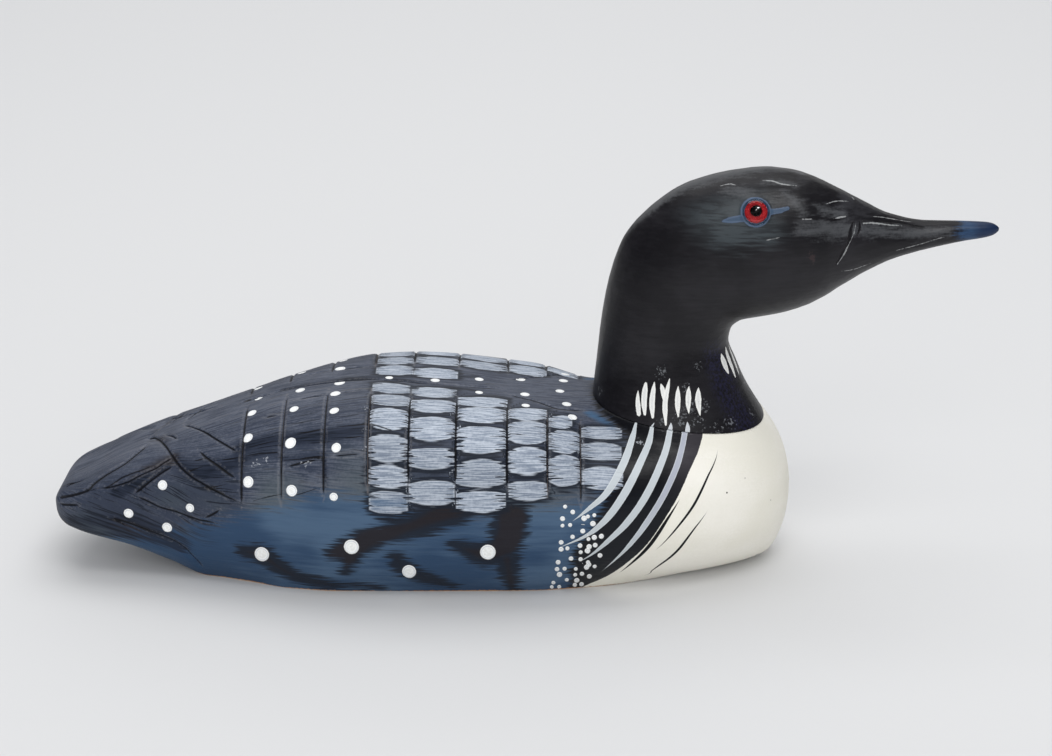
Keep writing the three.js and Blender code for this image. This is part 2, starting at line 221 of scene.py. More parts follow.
def bodyPoint(along, girth, side):
    # upper half: a squarish oval from spine to widest line; lower half: a power curve down to the
    # base; the ends close by quarter circles, and the shoulder is drawn up to the seat of the neck
    s = bodySettings
    along, girth = np.broadcast_arrays(np.asarray(along, float), np.asarray(girth, float))
    form = {name: curve(along) for name, curve in bodyCurves.items()}
    breast = closing((along - s["bowTopStart"]) / (1 - s["bowTopStart"]))
    bow = closing((along - s["bowWidthStart"]) / (1 - s["bowWidthStart"]))
    keel = closing((along - s["bowWidthStart"]) / (s["keelEnd"] - s["bowWidthStart"]))
    lift = 1 - closing((along - s["keelEnd"]) / (1 - s["keelEnd"]))
    rounding = 1 - closing(1 - along * s["length"] / s["tailRound"])
    front = s["bowHeight"] * s["height"]
    top = front + (form["spine"] * s["height"] - front) * breast - rounding * s["tailEdge"]
    bottom = np.maximum(form["underside"] * s["height"], front * lift) + rounding * s["tailEdge"]
    middle = front + (form["widest"] * s["height"] - front) * breast
    half = form["width"] * s["halfWidth"] * bow - rounding * s["tailRound"]
    base = form["width"] * s["halfWidth"] * bow * form["base"] * keel - rounding * s["tailRound"]
    turn = np.clip(girth, 0, 1) * math.pi / 2
    upperY = half * np.sin(turn) ** (2 / form["square"])
    upperZ = middle + (top - middle) * np.maximum(0, np.cos(turn)) ** (2 / form["square"])
    drop = np.sin(np.clip(girth - 1, 0, 1) * math.pi / 2)
    lowerY = base + (half - base) * np.maximum(0, 1 - drop ** form["full"]) ** (1 / form["round"])
    lowerZ = middle + (bottom - middle) * drop
    y = side * np.where(girth <= 1, upperY, lowerY)
    z = np.where(girth <= 1, upperZ, lowerZ)
    fade = np.maximum(0, 1 - along / s["skewEnd"]) ** 2
    corner = s["halfWidth"] * bodyCurves["width"](0.0) - s["tailRound"]
    x = s["tailEnd"] + along * s["length"] + s["tailSkew"] * fade * (y + corner)
    outside = outsideSeat(x, y)
    seat = seatHeight(x) - seatSettings["gap"]
    beyond = np.maximum(0, outside - seatSettings["flare"])
    shoulder = seat - seatSettings["slope"] * outside - seatSettings["runOut"] * beyond
    raised = np.minimum(smoothMax(z, shoulder, seatSettings["round"]), np.maximum(z, seat))
    raised = np.where(outside <= 0, seat, np.where(raised - z > 0.05, raised, z))
    z = np.where(girth < 1, raised, z)
    return np.stack([x, y, z], -1)


headSettings = {
    "width": 45,  # across the cheeks
    "rise": 99,  # from the seat to the crown
    "reach": 161,  # from the back of the seat to the bill tip
    "billRound": 0.02,  # share of the stations over which the tip closes
    "rings": 345,
    "steps": 140,  # from the crown to the chin
    "footStep": 0.0012,  # between the first rings above the seat, as a share of the stations
    "eyeRings": 0.9,  # how much closer the rings stand at the eye
    "borderRings": 0.5,  # at the line where the bill begins
    "neckRings": 0.6,  # over the foot of the neck
    "billRings": 0.3,  # and over the face and the bill
    "border": 0.67,  # where these lie along the stations
    "neckEnd": 0.135,
    "faceStart": 0.6,
    "ringSpread": 0.05,  # how far from the eye and the border the rings stand closer
    "shave": 0.006,  # keeps the surface inside the solid's box
    "facetDepth": 0.07,  # flats left by the knife
    "facetLength": 0.032,  # share of the stations
    "facetWidth": 0.09,  # share of the way from crown to chin
}
headRise, headReach = headSettings["rise"], headSettings["reach"]
seatReach = seatSettings["length"] * math.cos(seatSettings["tilt"])
seatShare = seatSettings["length"] * math.sin(seatSettings["tilt"]) / 2 / headRise

# Stations from the seat to the bill tip: upper outline, lower outline, half width, where the
# widest line lies between the outlines, how square each half is.
headCurves = curvesOf(
    [
        [0.0, 0.0, seatShare, seatReach / headReach, -seatShare, 66 / 45, 0.5, 2.2, 2.2],
        [0.035, 0.0025, 0.11, 0.383, 0.092, 1.22, 0.5, 2.1, 2.1],
        [0.07, 0.007, 0.18, 0.362, 0.171, 1.07, 0.5, 2.0, 2.0],
        [0.14, 0.016, 0.331, 0.338, 0.275, 0.955, 0.5, 2.0, 2.0],
        [0.21, 0.032, 0.502, 0.344, 0.331, 0.93, 0.5, 2.0, 2.0],
        [0.28, 0.068, 0.694, 0.371, 0.369, 0.945, 0.5, 2.0, 2.0],
        [0.35, 0.137, 0.834, 0.416, 0.382, 0.975, 0.52, 2.0, 2.0],
        [0.42, 0.233, 0.938, 0.4705, 0.399, 1.0, 0.54, 2.0, 2.0],
        [0.5, 0.356, 0.99, 0.53, 0.431, 0.99, 0.54, 1.95, 2.0],
        [0.54, 0.4175, 1.0, 0.555, 0.4535, 0.956, 0.54, 1.93, 2.05],
        [0.58, 0.479, 0.99, 0.579, 0.477, 0.91, 0.54, 1.9, 2.1],
        [0.62, 0.53, 0.966, 0.605, 0.506, 0.812, 0.54, 1.9, 2.1],
        [0.65, 0.578, 0.93, 0.625, 0.526, 0.73, 0.54, 1.9, 2.1],
        [0.71, 0.659, 0.862, 0.676, 0.575, 0.55, 0.54, 1.9, 2.1],
        [0.77, 0.729, 0.807, 0.739, 0.622, 0.4, 0.53, 1.9, 2.0],
        [0.84, 0.816, 0.779, 0.8225, 0.662, 0.27, 0.52, 1.9, 2.0],
        [0.91, 0.9075, 0.776, 0.9106, 0.694, 0.19, 0.5, 2.0, 2.0],
        [0.965, 0.965, 0.772, 0.967, 0.71, 0.145, 0.5, 2.0, 2.0],
        [1.0, 1.0, 0.76, 1.0, 0.727, 0.08, 0.5, 2.0, 2.0],
    ],
    ["upperX", "upperZ", "lowerX", "lowerZ", "width", "widest", "squareUpper", "squareLower"],
)


def headPoint(along, down, side):
    # an oval between the upper and the lower outline, each half with its own squareness
    along, down = np.broadcast_arrays(np.asarray(along, float), np.asarray(down, float))
    form = {name: curve(along) for name, curve in headCurves.items()}
    close = closing((along - 1 + headSettings["billRound"]) / headSettings["billRound"])
    flat = np.zeros(along.shape)
    upper = np.stack([form["upperX"] * headReach, flat, form["upperZ"] * headRise], -1)
    lower = np.stack([form["lowerX"] * headReach, flat, form["lowerZ"] * headRise], -1)
    middle = upper + (lower - upper) * form["widest"][..., None]
    turn = down * math.pi
    isUpper = down < 0.5
    power = 2 / np.where(isUpper, form["squareUpper"], form["squareLower"])
    toward = np.where(isUpper[..., None], upper, lower) - middle
    point = middle + toward * (np.abs(np.cos(turn)) ** power * close)[..., None]
    half = headSettings["width"] / 2 * form["width"]
    point[..., 1] = side * half * np.maximum(0, np.sin(turn)) ** power * close
    seatBack = bodySettings["tailEnd"] + seatSettings["start"]
    return point + np.array([seatBack, 0, seatSettings["height"]])


# Surfaces on grids


def evenStations(form, rounds, count, density):
    # stations between which the surface moves by even steps, closer where density says
    t = np.linspace(0, 1, 6000)
    fine = (1 - np.cos(math.pi * t)) / 2
    points = form(fine[:, None], np.array(rounds)[None], near)
    steps = np.linalg.norm(np.diff(points, axis=0), axis=2).max(1)
    middle = (fine[1:] + fine[:-1]) / 2
    cost = np.concatenate([[0], np.cumsum(steps * density(middle))])
    return np.interp(np.linspace(0, cost[-1], count), cost, fine)


def evenRounds(form, stations, start, end, count):
    # on each station, places from start to end at even lengths along the surface
    t = np.linspace(0, 1, 900)
    t = t * t * (3 - 2 * t)
    fine = start + (end - start) * t * t * (3 - 2 * t)
    points = form(stations[:, None], fine[None], near)
    lengths = np.cumsum(np.linalg.norm(np.diff(points, axis=1), axis=2), axis=1)
    lengths = np.concatenate([np.zeros((len(stations), 1)), lengths], 1)
    shares = np.linspace(0, 1, count + 1)
    rows = [np.interp(shares * row[-1], row, fine) for row in lengths]
    return np.array(rows), shares[None] * lengths[:, -1:]


def gridNormals(points):
    # outward normals of rings of points that close on themselves
    ahead = np.gradient(points, axis=0)
    around = np.roll(points, -1, axis=1) - np.roll(points, 1, axis=1)
    normal = np.cross(around, ahead)
    outward = points - points.mean(1, keepdims=True)
    normal = normal * np.sign((normal * outward).sum())
    length = np.linalg.norm(normal, axis=2, keepdims=True)
    return (normal / np.maximum(length, 1e-9)).reshape(-1, 3)


def ringFaces(ringCount, ringSize):
    # quads between neighbouring rings
    i, j = np.meshgrid(np.arange(ringCount - 1), np.arange(ringSize), indexing="ij")
    after = (j + 1) % ringSize
    corners = [i * ringSize + j, i * ringSize + after, (i + 1) * ringSize + after, (i + 1) * ringSize + j]
    return np.stack(corners, -1).reshape(-1, 4)


def capFaces(firstIndex, ringSize, centre, isLast):
    j = np.arange(ringSize)
    after = (j + 1) % ringSize
    ends = (firstIndex + j, firstIndex + after) if isLast else (firstIndex + after, firstIndex + j)
    return np.stack([*ends, np.full(ringSize, centre)], -1)


def link(name, mesh):
    piece = bpy.data.objects.new(name, mesh)
    bpy.context.scene.collection.objects.link(piece)
    return piece


def ringPiece(name, rings, attributes, sharpAngle=48):
    # a closed skin over rings of points, with a middle point at each end
    ringCount, ringSize = rings.shape[:2]
    points = np.concatenate([rings.reshape(-1, 3), [rings[0].mean(0)], [rings[-1].mean(0)]])
    first = ringCount * ringSize
    quads = ringFaces(ringCount, ringSize)
    a, b, c, d = (points[quads[:, k]] - points.mean(0) for k in range(4))
    isInside = (np.cross(b - a, c - b) * a).sum() < 0
    faces = quads.tolist()
    faces += capFaces(0, ringSize, first, False).tolist()
    faces += capFaces(first - ringSize, ringSize, first + 1, True).tolist()
    if isInside:
        faces = [face[::-1] for face in faces]
    mesh = bpy.data.meshes.new(name)
    mesh.from_pydata((points * metre).tolist(), [], faces)
    mesh.validate()
    for key, values in attributes.items():
        ends = [values[:ringSize].mean(0), values[-ringSize:].mean(0)]
        values = np.concatenate([values, ends]).astype(np.float32)
        isVector = values.ndim == 2
        stored = mesh.attributes.new(key, "FLOAT_VECTOR" if isVector else "FLOAT", "POINT")
        stored.data.foreach_set("vector" if isVector else "value", values.ravel())
    mesh.shade_smooth()
    mesh.set_sharp_from_angle(angle=math.radians(sharpAngle))
    print(f"{name}: {len(mesh.polygons)} faces")
    return link(name, mesh)


# Lines on a surface

clear = -9.0  # so many millimetres outside a mark, its paint no longer counts
squareClear = -12.0  # the same for the squares on the back


def traced(form, places, side, count=60):
    # points on the form along a smooth curve through places given as pairs
    table = np.array(places, float)
    way = np.linspace(0, 1, len(table))
    fine = np.linspace(0, 1, count)
    first = curveThrough(way, table[:, 0])(fine)
    second = curveThrough(way, table[:, 1])(fine)
    return form(first, second, side)


def nearLine(points, line):
    # distance to the nearest point of a polyline, that point, its share of the way and its heading
    best = np.full(len(points), 1e9)
    foot, heading = np.zeros_like(points), np.zeros_like(points)
    way = np.zeros(len(points))
    for k in range(len(line) - 1):
        step = line[k + 1] - line[k]
        share = np.clip((points - line[k]) @ step / max(step @ step, 1e-9), 0, 1)
        spot = line[k] + share[:, None] * step
        gap = np.linalg.norm(points - spot, axis=1)
        closer = gap < best
        best = np.where(closer, gap, best)
        foot[closer] = spot[closer]
        heading[closer] = step / max(np.linalg.norm(step), 1e-9)
        way = np.where(closer, (k + share) / (len(line) - 1), way)
    return best, foot, way, heading


def around(points, line, margin):
    low, high = line.min(0) - margin, line.max(0) + margin
    return np.flatnonzero(np.all((points > low) & (points < high), axis=1))


def cutAlong(line, side, flanks, depth, endDepth, snap):
    # a cut with a flank on its left and one on its right, and the share of its depth at its ends
    left, right = flanks
    return {"line": line, "side": side, "left": left, "right": right, "depth": depth,
            "endDepth": endDepth, "snap": snap}


def carve(points, normals, cuts):
    # V-shaped cuts: depth falls off linearly from the line to the edge of each flank, and points
    # that lie close to a line are moved onto it first, so that its bottom stays sharp
    depth = np.zeros(len(points))
    distance = np.full(len(points), 9.0)
    for cut in cuts:
        chosen = around(points, cut["line"], 6)
        gap, foot, way, heading = nearLine(points[chosen], cut["line"])
        snap = (gap < cut["snap"]) & (way > 0.01) & (way < 0.99)
        points[chosen[snap]] = foot[snap]
        gap = np.where(snap, 0, gap)
        right = np.cross(heading, normals[chosen])
        across = np.einsum("ij,ij->i", points[chosen] - foot, right) * -cut["side"]
        flank = np.where(across > 0, cut["right"], cut["left"])
        length = np.linalg.norm(np.diff(cut["line"], axis=0), axis=1).sum()
        toEnd = np.minimum(way, 1 - way) * length
        ends = smoothStep(toEnd, 0, np.minimum(5, length * 0.3))
        ends = cut["endDepth"] + (1 - cut["endDepth"]) * ends
        wanted = cut["depth"] * ends * np.clip(1 - gap / flank, 0, 1)
        depth[chosen] = np.maximum(depth[chosen], wanted)
        distance[chosen] = np.minimum(distance[chosen], gap + 1.2 * (1 - ends))
    points -= normals * depth[:, None]
    return distance


def insideStroke(points, line, halfWidths):
    # how far inside a soft brush stroke each point lies; its half width changes along the line
    inside = np.full(len(points), clear)
    chosen = around(points, line, -clear)
    gap, _, way, _ = nearLine(points[chosen], line)
    half = np.interp(way, np.linspace(0, 1, len(halfWidths)), halfWidths)
    inside[chosen] = np.maximum(half - gap, clear)
    return inside


def strokeField(points, normals, strokes, margin):
    # for the nearest of some strokes: place across its line, its half width there and the share of
    # its way. The half width falls off past the ends, and is negative beyond a margin round it
    field = np.tile([0.0, -1, 0], (len(points), 1))
    best = np.full(len(points), margin)
    for line, halfWidths in strokes:
        chosen = around(points, line, 5)
        gap, foot, way, heading = nearLine(points[chosen], line)
        half = np.interp(way, np.linspace(0, 1, len(halfWidths)), halfWidths)
        off = points[chosen] - foot
        across = np.einsum("ij,ij->i", off, np.cross(heading, normals[chosen]))
        beyond = np.abs(np.einsum("ij,ij->i", off, heading))
        closer = gap - half < best[chosen]
        best[chosen] = np.where(closer, gap - half, best[chosen])
        mine = chosen[closer]
        field[mine] = np.stack([across, half - 1.3 * beyond, way], 1)[closer]
    return field


def spotFields(points, spots, margin):
    # round dots, shared out so that those in one set lie well apart. For the nearest dot of a set:
    # place from its middle along two directions, and its radius, negative beyond a margin
    sets = []
    for spot in spots:
        middle, radius = spot[0], spot[1]
        for others in sets:
            if all(np.linalg.norm(middle - o[0]) > radius + o[1] + 2.7 * margin for o in others):
                others.append(spot)
                break
        else:
            sets.append([spot])
    fields = []
    for chosenSet in sets:
        field = np.tile([0.0, 0, -1], (len(points), 1))
        for middle, radius, first, second in chosenSet:
            mine = np.flatnonzero(np.linalg.norm(points - middle, axis=1) < radius * 1.3 + margin)
            off = points[mine] - middle
            field[mine] = np.stack([off @ first, off @ second, np.full(len(mine), radius)], 1)
        fields.append(field)
    return fields


# What is painted and carved on the body, in millimetres: from the end of the tail, and round from
# the spine. Squares lie in columns between two carved rows of feathers.
bodyMarks = {
    "featherRows": [0.262, 0.316, 0.373, 0.432, 0.485, 0.547, 0.614, 0.667, 0.711],  # along the body
    "columnEnds": [129.6, 145.5, 164.1, 184.2, 200.1, 213.3, 230.0],
    "squaresRight": [
        [(6, 17), (18, 29), (30.5, 44), (46, 58), (58.7, 68.3), (69, 79)],
        [(8, 19), (21, 33), (36, 49.5), (52, 61), (65, 76)],
        [(14.5, 24.5), (25, 37.5), (39.5, 53), (55, 66.5), (67.5, 77)],
        [(21.5, 32), (32.5, 46.5), (47.5, 59), (61, 69.5)],
        [(24, 33, 0.72), (34, 46), (46.6, 59.5)],
        [(27.5, 35), (36.5, 45.3), (47.5, 57)],
    ],
    "squaresLeft": [
        [(3, 14.5), (16, 25.5), (27, 40), (42, 55), (56, 67), (68.5, 78)],
        [(2, 14), (17.5, 28.5), (31, 45), (48, 60), (63, 75)],
        [(16.5, 26.5), (28, 39), (41, 53), (55, 66), (68, 77)],
        [(15, 27), (28.5, 41), (43, 56), (59, 69)],
        [(19.5, 31), (32.5, 45), (46.5, 58.5)],
        [(27, 35), (37, 45.5), (48, 57)],
    ],
    "barrel": 0.3,  # how much a square narrows toward its ends
    "columnGap": 0.7,  # half the gap between two columns
    "wingDots": [
        (46.2, 36.3, 2.0), (57.3, 49.7, 1.8), (32, 42.9, 2.0), (47.4, 54.8, 2.1), (82.7, 1.2, 1.8),
        (81, 13.8, 2.0), (80.5, 29, 2.2), (81.5, 48.6, 2.3), (100, 4.5, 2.0), (98.7, 20.4, 1.9),
        (98.4, 39.2, 2.4), (99.2, 59, 2.3), (116, 3.4, 2.2), (115, 14.2, 2.2), (115.4, 28.4, 2.0),
        (117, 48, 2.0), (116, 67.5, 1.7),
    ],
    "mantleDotsRight": [
        (172.7, 9.6, 1.6), (191.2, 7.2, 1.9), (191.5, 18.9, 1.7), (208, 14, 1.9), (210.2, 24, 1.9),
    ],
    "mantleDotsMiddle": [(136, 0, 1.6), (154.7, 0, 1.9), (205.4, 1, 1.8)],
    "mantleDotsLeft": [(172.5, 5, 1.8), (189.5, 9.3, 1.9), (207, 11.5, 1.9), (208, 22, 1.8)],
    "sideDots": [(86, 82.5, 3.0), (122.5, 91.6, 3.0), (145, 108.4, 2.8), (176.5, 95, 3.1)],
    "smallDots": [
        (207, 67.5), (210, 68.5), (206, 73), (206, 76), (209, 74.5), (214.5, 69.5), (218.5, 67.3),
        (216, 68.3), (218, 71), (214, 75.3), (210, 79.5), (205.5, 84), (205.5, 87.5), (208, 86),
        (216.3, 78.4), (218.6, 77.2), (221.4, 76.6), (213, 82.6), (216.6, 82.1), (219, 81),
        (216, 84.4), (213.3, 86), (221, 86.6), (209.5, 91), (213.3, 90), (204.4, 95.2), (216.3, 91),
        (216.6, 92.5), (215.8, 94.4), (219, 93.5), (204, 99.7), (207, 98.3), (211.5, 96.8),
        (205, 103), (214, 99.5), (211.3, 101), (217, 101), (208, 106), (212, 105.3), (202.6, 110),
        (202, 113.7), (205, 112.8), (211.3, 109.4), (214, 108.2),
    ],
    "smallDotRadius": (0.75, 1.15),
    "faceOn": 21,  # degrees above level from which the large dots of the side look round
    "stripes": [
        [
            (235.7, 27.5), (233.9, 34.7), (231.4, 43.5), (227.7, 51.7), (223.4, 58.3), (216.8, 64.5),
            (209.8, 72.6),
        ],
        [
            (242.2, 28), (240.6, 36.6), (236.6, 47), (231.2, 57.8), (224.7, 67.3), (218.9, 73.6),
            (204.2, 87.4),
        ],
        [
            (249.9, 24.5), (247.7, 38), (244.4, 48.2), (238.4, 61), (231.4, 71.3), (223.4, 79.8),
            (212.5, 92),
        ],
        [
            (256, 22), (254.3, 34.8), (251.8, 45.3), (246.4, 58.5), (239.3, 71.3), (232.8, 81.6),
            (222, 97),
        ],
    ],
    "stripeHalves": [
        (0.3, 1.2, 1.5, 1.55, 1.35, 0.9, 0),
        (0.4, 1.25, 1.5, 1.6, 1.5, 1.1, 0),
        (0.85, 1.3, 1.45, 1.5, 1.45, 1.05, 0),
        (0.95, 1.15, 1.25, 1.3, 1.3, 1.0, 0),
    ],
    "whiteEdge": [
        (262, 20), (261.8, 31.5), (260.5, 37.8), (256.4, 48), (251.6, 59.4), (245.7, 70.5), (239.5, 81.6),
        (231.9, 92.4), (225.2, 100.5), (216.3, 108.5), (212, 114),
    ],
    "blackEdge": [
        (218, 0), (220, 15), (226, 27), (231, 36), (230, 46), (226, 55), (221, 63.5), (216.8, 74),
        (211.8, 81.6), (208.7, 97.6), (210, 114),
    ],
    # Thin black lines on the breast: distance in front of the white edge as a + b rise + c rise^2,
    # where rise is the way up from the base; lowest and highest rise; half width.
    "hairLines": [
        (3.46, -0.1145, 0.0013, 11, 54, 0.8),
        (-1.22, 0.258, -0.002, 28, 75, 0.5),
        (12.9, -0.0768, 0.0013, 7, 50, 0.52),
    ],
    "specks": [(271.5, 53, 0.36), (279, 43.3, 0.2), (290.5, 41, 0.25)],
    # Broad strokes: line, half width and how dark (above 0) or light (below 0). Most are brushwork of navy
    # and slate; the dark ones in the tail's recess and beside a row of feathers are painted shade, and the
    # light ones along the tops of the tail and back are painted light.
    "shades": [
        ([(78.9, 32.9), (92.1, 35.5), (110.3, 40.8), (128.1, 43.1)], 7, 1.0),
        ([(78, 38.5), (92, 41.5), (96, 45.1), (111, 49)], 3, 0.6),
        ([(54, 31.5), (61.6, 36.4), (76.1, 38.3)], 7, 0.7),
        ([(5.3, 40.2), (20, 45.2), (36.3, 51.6), (52.2, 65.4)], 8, 1.0),
        # painted shade in the tail's recess under a feather edge
        ([(50.5, 26.5), (40.8, 29.5), (28, 32)], 4, 1.2),
        ([(92.6, 0.5), (118, 0.5), (134, 0.5), (152, 4), (172, 8)], 2.4, 0.9),
        # painted shade beside a row of feathers
        ([(111.8, 50), (112.5, 55.6), (112.8, 63)], 1.8, 1.0),
        ([(70, 48), (58, 44), (40, 40), (20, 34)], 20, 0.55),
        ([(64, 64), (44, 58), (24, 46), (4, 36)], 12, 0.45),
        ([(86, 22), (104, 26), (126, 30)], 8, 0.3),
        # painted light along the top of the tail and of the back (this line and the next)
        ([(4.6, 6), (20, 6), (38, 8)], 10, -0.6),
        ([(54.5, 6), (79.6, 9), (112, 12)], 10, -0.35),
        ([(82.4, 54), (102.7, 60), (126.6, 66)], 7, -0.5),
    ],
    "inks": [  # thin black strokes with their half widths
        ([(78.6, 37.1), (84.5, 38.5), (93.3, 41.4)], (0.1, 0.3, 0.25)),
        ([(95.9, 45.7), (104.2, 48.2), (110.6, 49.8)], (0.15, 0.35, 0.6)),
        ([(113.4, 21.1), (120.2, 21.5), (128.3, 21.4)], (0.1, 0.22, 0.1)),
        ([(116, 38.2), (124, 39.8), (129.9, 40.3), (139, 44.4)], (0.1, 0.5, 0.6, 0.2)),
        ([(100.4, 35.5), (107, 37.2), (112.6, 37.6)], (0.1, 0.5, 0.15)),
        ([(74.1, 0.2), (77.9, 0.6), (81.2, 0.1)], (0.1, 0.7, 0.2)),
        ([(113.9, 32.1), (122, 33.9), (128.3, 33.7)], (0.1, 0.25, 0.1)),
        ([(96.1, 29), (103.5, 30.8), (110.1, 31.9)], (0.1, 0.22, 0.1)),
        ([(79.9, 34.2), (86.7, 34.9), (93.6, 35.8)], (0.1, 0.3, 0.1)),
        ([(97, 60.5), (104, 61.8), (112, 62)], (0.05, 0.3, 0.05)),
        ([(83, 57), (90, 58), (97, 59.5)], (0.05, 0.25, 0.05)),
        ([(60, 42), (66, 44.5), (73, 46)], (0.05, 0.35, 0.05)),
        ([(118, 44.5), (124, 45.6), (129, 45.8)], (0.05, 0.3, 0.1)),
        ([(1.8, 12.5), (7.1, 14.9), (12.7, 16.5)], (0.3, 0.45, 0.1)),
        ([(56.6, 34.8), (59.1, 34.6), (62.6, 34.8)], (0.5, 0.4, 0.1)),
        ([(58.6, 30.8), (61.9, 31.3), (66.2, 32)], (0.1, 0.35, 0.1)),
        ([(70.5, 35.2), (74.1, 36.1), (78.4, 37.1)], (0.1, 0.4, 0.15)),
        ([(63.9, 44.2), (68.5, 47.1), (72, 49.7)], (0.15, 0.5, 0.3)),
        ([(4.6, 3), (9.4, 2), (15.7, 1.5)], (0.1, 0.3, 0.1)),
        ([(14.7, 26), (23.6, 27.7), (30.2, 26.5), (40.3, 26.2)], (0.2, 0.3, 0.4, 0.2)),
        ([(23.3, 42.1), (27.6, 45.1), (30.9, 48.9)], (0.1, 0.5, 0.1)),
    ],
    "hollowShadeStrokes": [  # brown-black painted shade in the recesses of the tail's carving
        ([(33, 27), (41, 26.5), (49.5, 25.5)], (0.3, 2.2, 3)),
        ([(26, 44), (33, 50), (40, 57)], (0.2, 1.5, 0.5)),
        ([(38, 5), (43, 8), (47, 14)], (0.3, 1.5, 0.4)),
    ],
    "tints": [  # blue laid over the rest
        ([(217, 19), (226, 28)], 5, 0.55),
        ([(133, 74), (143, 75)], 6, 0.55),
    ],
    "scuffs": [
        (237.3, 37.6, 2.6), (246.8, 30.8, 3), (84.7, 42.8, 2.6), (89, 42.4, 2.2), (104.7, 50.2, 2.4),
        (128.2, 30.2, 1.8), (128.6, 43.1, 1.8), (128.8, 51, 1.5),
    ],
    "patches": [
        ([(80, 79), (86, 83), (91, 90), (100, 101), (114, 111), (134, 119)], (5, 6.5, 5, 4, 3.5, 2)),
        ([(114, 93), (121, 93), (131, 89), (148, 84), (163, 77)], (3, 6.5, 5.5, 6, 8)),
        ([(122, 97), (119, 105)], (5, 2)),
        ([(140, 100), (144, 107), (152, 113), (162, 118)], (4, 5, 4, 2.5)),
        ([(163, 93), (175, 96), (183, 91), (186, 78)], (2.5, 7.5, 7.5, 7.5)),
        ([(184, 98), (186, 118)], (5.5, 3)),
    ],
    "wingEdge": [
        (0, 46), (20, 52), (40, 56), (60, 58), (80, 61), (92, 63), (111, 65), (119, 67), (130, 72),
        (150, 80), (165, 80), (185, 76), (200, 70), (215, 62), (225, 58), (300, 50),
    ],
}

# Carved lines: pairs of place along the body and girth, which is 0 on the spine, 1 on the widest
# line and 2 at the base. Raised edges have a wide flank on the side that the feather overlaps.
bodyCuts = {
    "depth": 0.9,
    "half": 0.95,
    "snap": 0.55,  # points nearer than this to a line are moved onto it
    "endDepth": 0.15,  # share of the depth at the ends of a line
    "lineDepth": 0.85,  # shares of the depth on the short lines
    "edgeDepth": 1.3,  # and on the edges of feathers
    "rowStart": 0.04,
    "rowEnd": 0.93,
    "mantleStart": 0.6,  # from here on the rows start further and further from the spine
    "mantleSpread": 2.3,
    "spine": [(0.247, 0.002), (0.43, 0.002), (0.61, 0.002)],
    "lines": [
        [(0.61, 0.01), (0.651, 0.05), (0.685, 0.14), (0.722, 0.19)],
        [(0.286, 0.234), (0.31, 0.245)],
        [(0.325, 0.124), (0.349, 0.104), (0.376, 0.095)],
        [(0.38, 0.085), (0.429, 0.044)],
        [(0.32, 0.677), (0.342, 0.665), (0.373, 0.656)],
        [(0.38, 0.65), (0.43, 0.67)],
        [(0.171, 0.002), (0.183, 0.057), (0.207, 0.211), (0.223, 0.326), (0.243, 0.441), (0.257, 0.508)],
        [(0.198, 0.378), (0.211, 0.492), (0.226, 0.578), (0.244, 0.668), (0.258, 0.726)],
        [(0.145, 0.028), (0.161, 0.115), (0.169, 0.201)],
        [(0.012, 0.378), (0.018, 0.286), (0.031, 0.242), (0.047, 0.23)],
        [(0.003, 0.995), (0.025, 0.947), (0.044, 0.913)],
        [(0.236, 0.923), (0.221, 0.97), (0.207, 0.997)],
    ],
    "leftLines": [[(0.136, 0.16), (0.162, 0.103), (0.199, 0.071), (0.222, 0.066)]],
    # Edges of feathers: width of the flank on the left and on the right of the line, then the line.
    "edges": [
        (0.8, 4.5, [
            (0.118, 0.002), (0.13, 0.01), (0.14, 0.07), (0.153, 0.224), (0.163, 0.38), (0.176, 0.55),
            (0.192, 0.671), (0.213, 0.758), (0.236, 0.833), (0.265, 0.896),
        ]),
        (2.6, 0.8, [
            (0.128, 0.054), (0.115, 0.126), (0.096, 0.25), (0.072, 0.332), (0.057, 0.425), (0.051, 0.534),
            (0.03, 0.608), (0.012, 0.683), (0.005, 0.739),
        ]),
        (0.8, 3.2, [
            (0.166, 0.422), (0.156, 0.457), (0.143, 0.521), (0.123, 0.569), (0.102, 0.641), (0.082, 0.65),
            (0.057, 0.543),
        ]),
        (2.6, 0.7, [(0.172, 0.518), (0.157, 0.572), (0.137, 0.683), (0.123, 0.781), (0.112, 0.856)]),
        (0.8, 3.0, [
            (0.115, 0.858), (0.13, 0.907), (0.15, 0.959), (0.17, 0.975), (0.191, 0.994), (0.211, 1.006),
            (0.232, 1.027),
        ]),
        (0.8, 3.0, [
            (0.078, 1.059), (0.095, 1.113), (0.121, 1.19), (0.141, 1.239), (0.161, 1.28), (0.177, 1.332),
            (0.187, 1.422), (0.196, 1.531), (0.202, 1.689),
        ]),
    ],
}


def girthAt(places, rounds):
    # the girth that lies so many millimetres round from the spine, at each place along the body
    t = np.linspace(0, 1, 700)
    half = t * t * (3 - 2 * t)
    fine = np.concatenate([half**2 * (3 - 2 * half), 1 + (half**2 * (3 - 2 * half))[1:]])
    girths = []
    for place, wanted in zip(places, rounds):
        points = bodyPoint(place / bodySettings["length"], fine, near)
        lengths = np.concatenate([[0], np.cumsum(np.linalg.norm(np.diff(points, axis=0), axis=1))])
        girths.append(np.interp(wanted, lengths, fine))
    return np.array(girths)


def bodySpots(marks, side):
    # points on the body for marks given in millimetres
    table = np.array([mark[:2] for mark in marks], float)
    return bodyPoint(table[:, 0] / bodySettings["length"], girthAt(table[:, 0], table[:, 1]), side)


def bodyLine(marks, side, count=50):
    table = np.array(marks, float)
    way, fine = np.linspace(0, 1, len(table)), np.linspace(0, 1, count)
    places = [curveThrough(way, table[:, k])(fine) for k in range(2)]
    return bodySpots(np.stack(places, 1), side)


def rowStarts(rows):
    # girth at which each row of feathers begins
    c = bodyCuts
    return np.maximum(c["rowStart"], (np.array(rows) - c["mantleStart"]) * c["mantleSpread"])


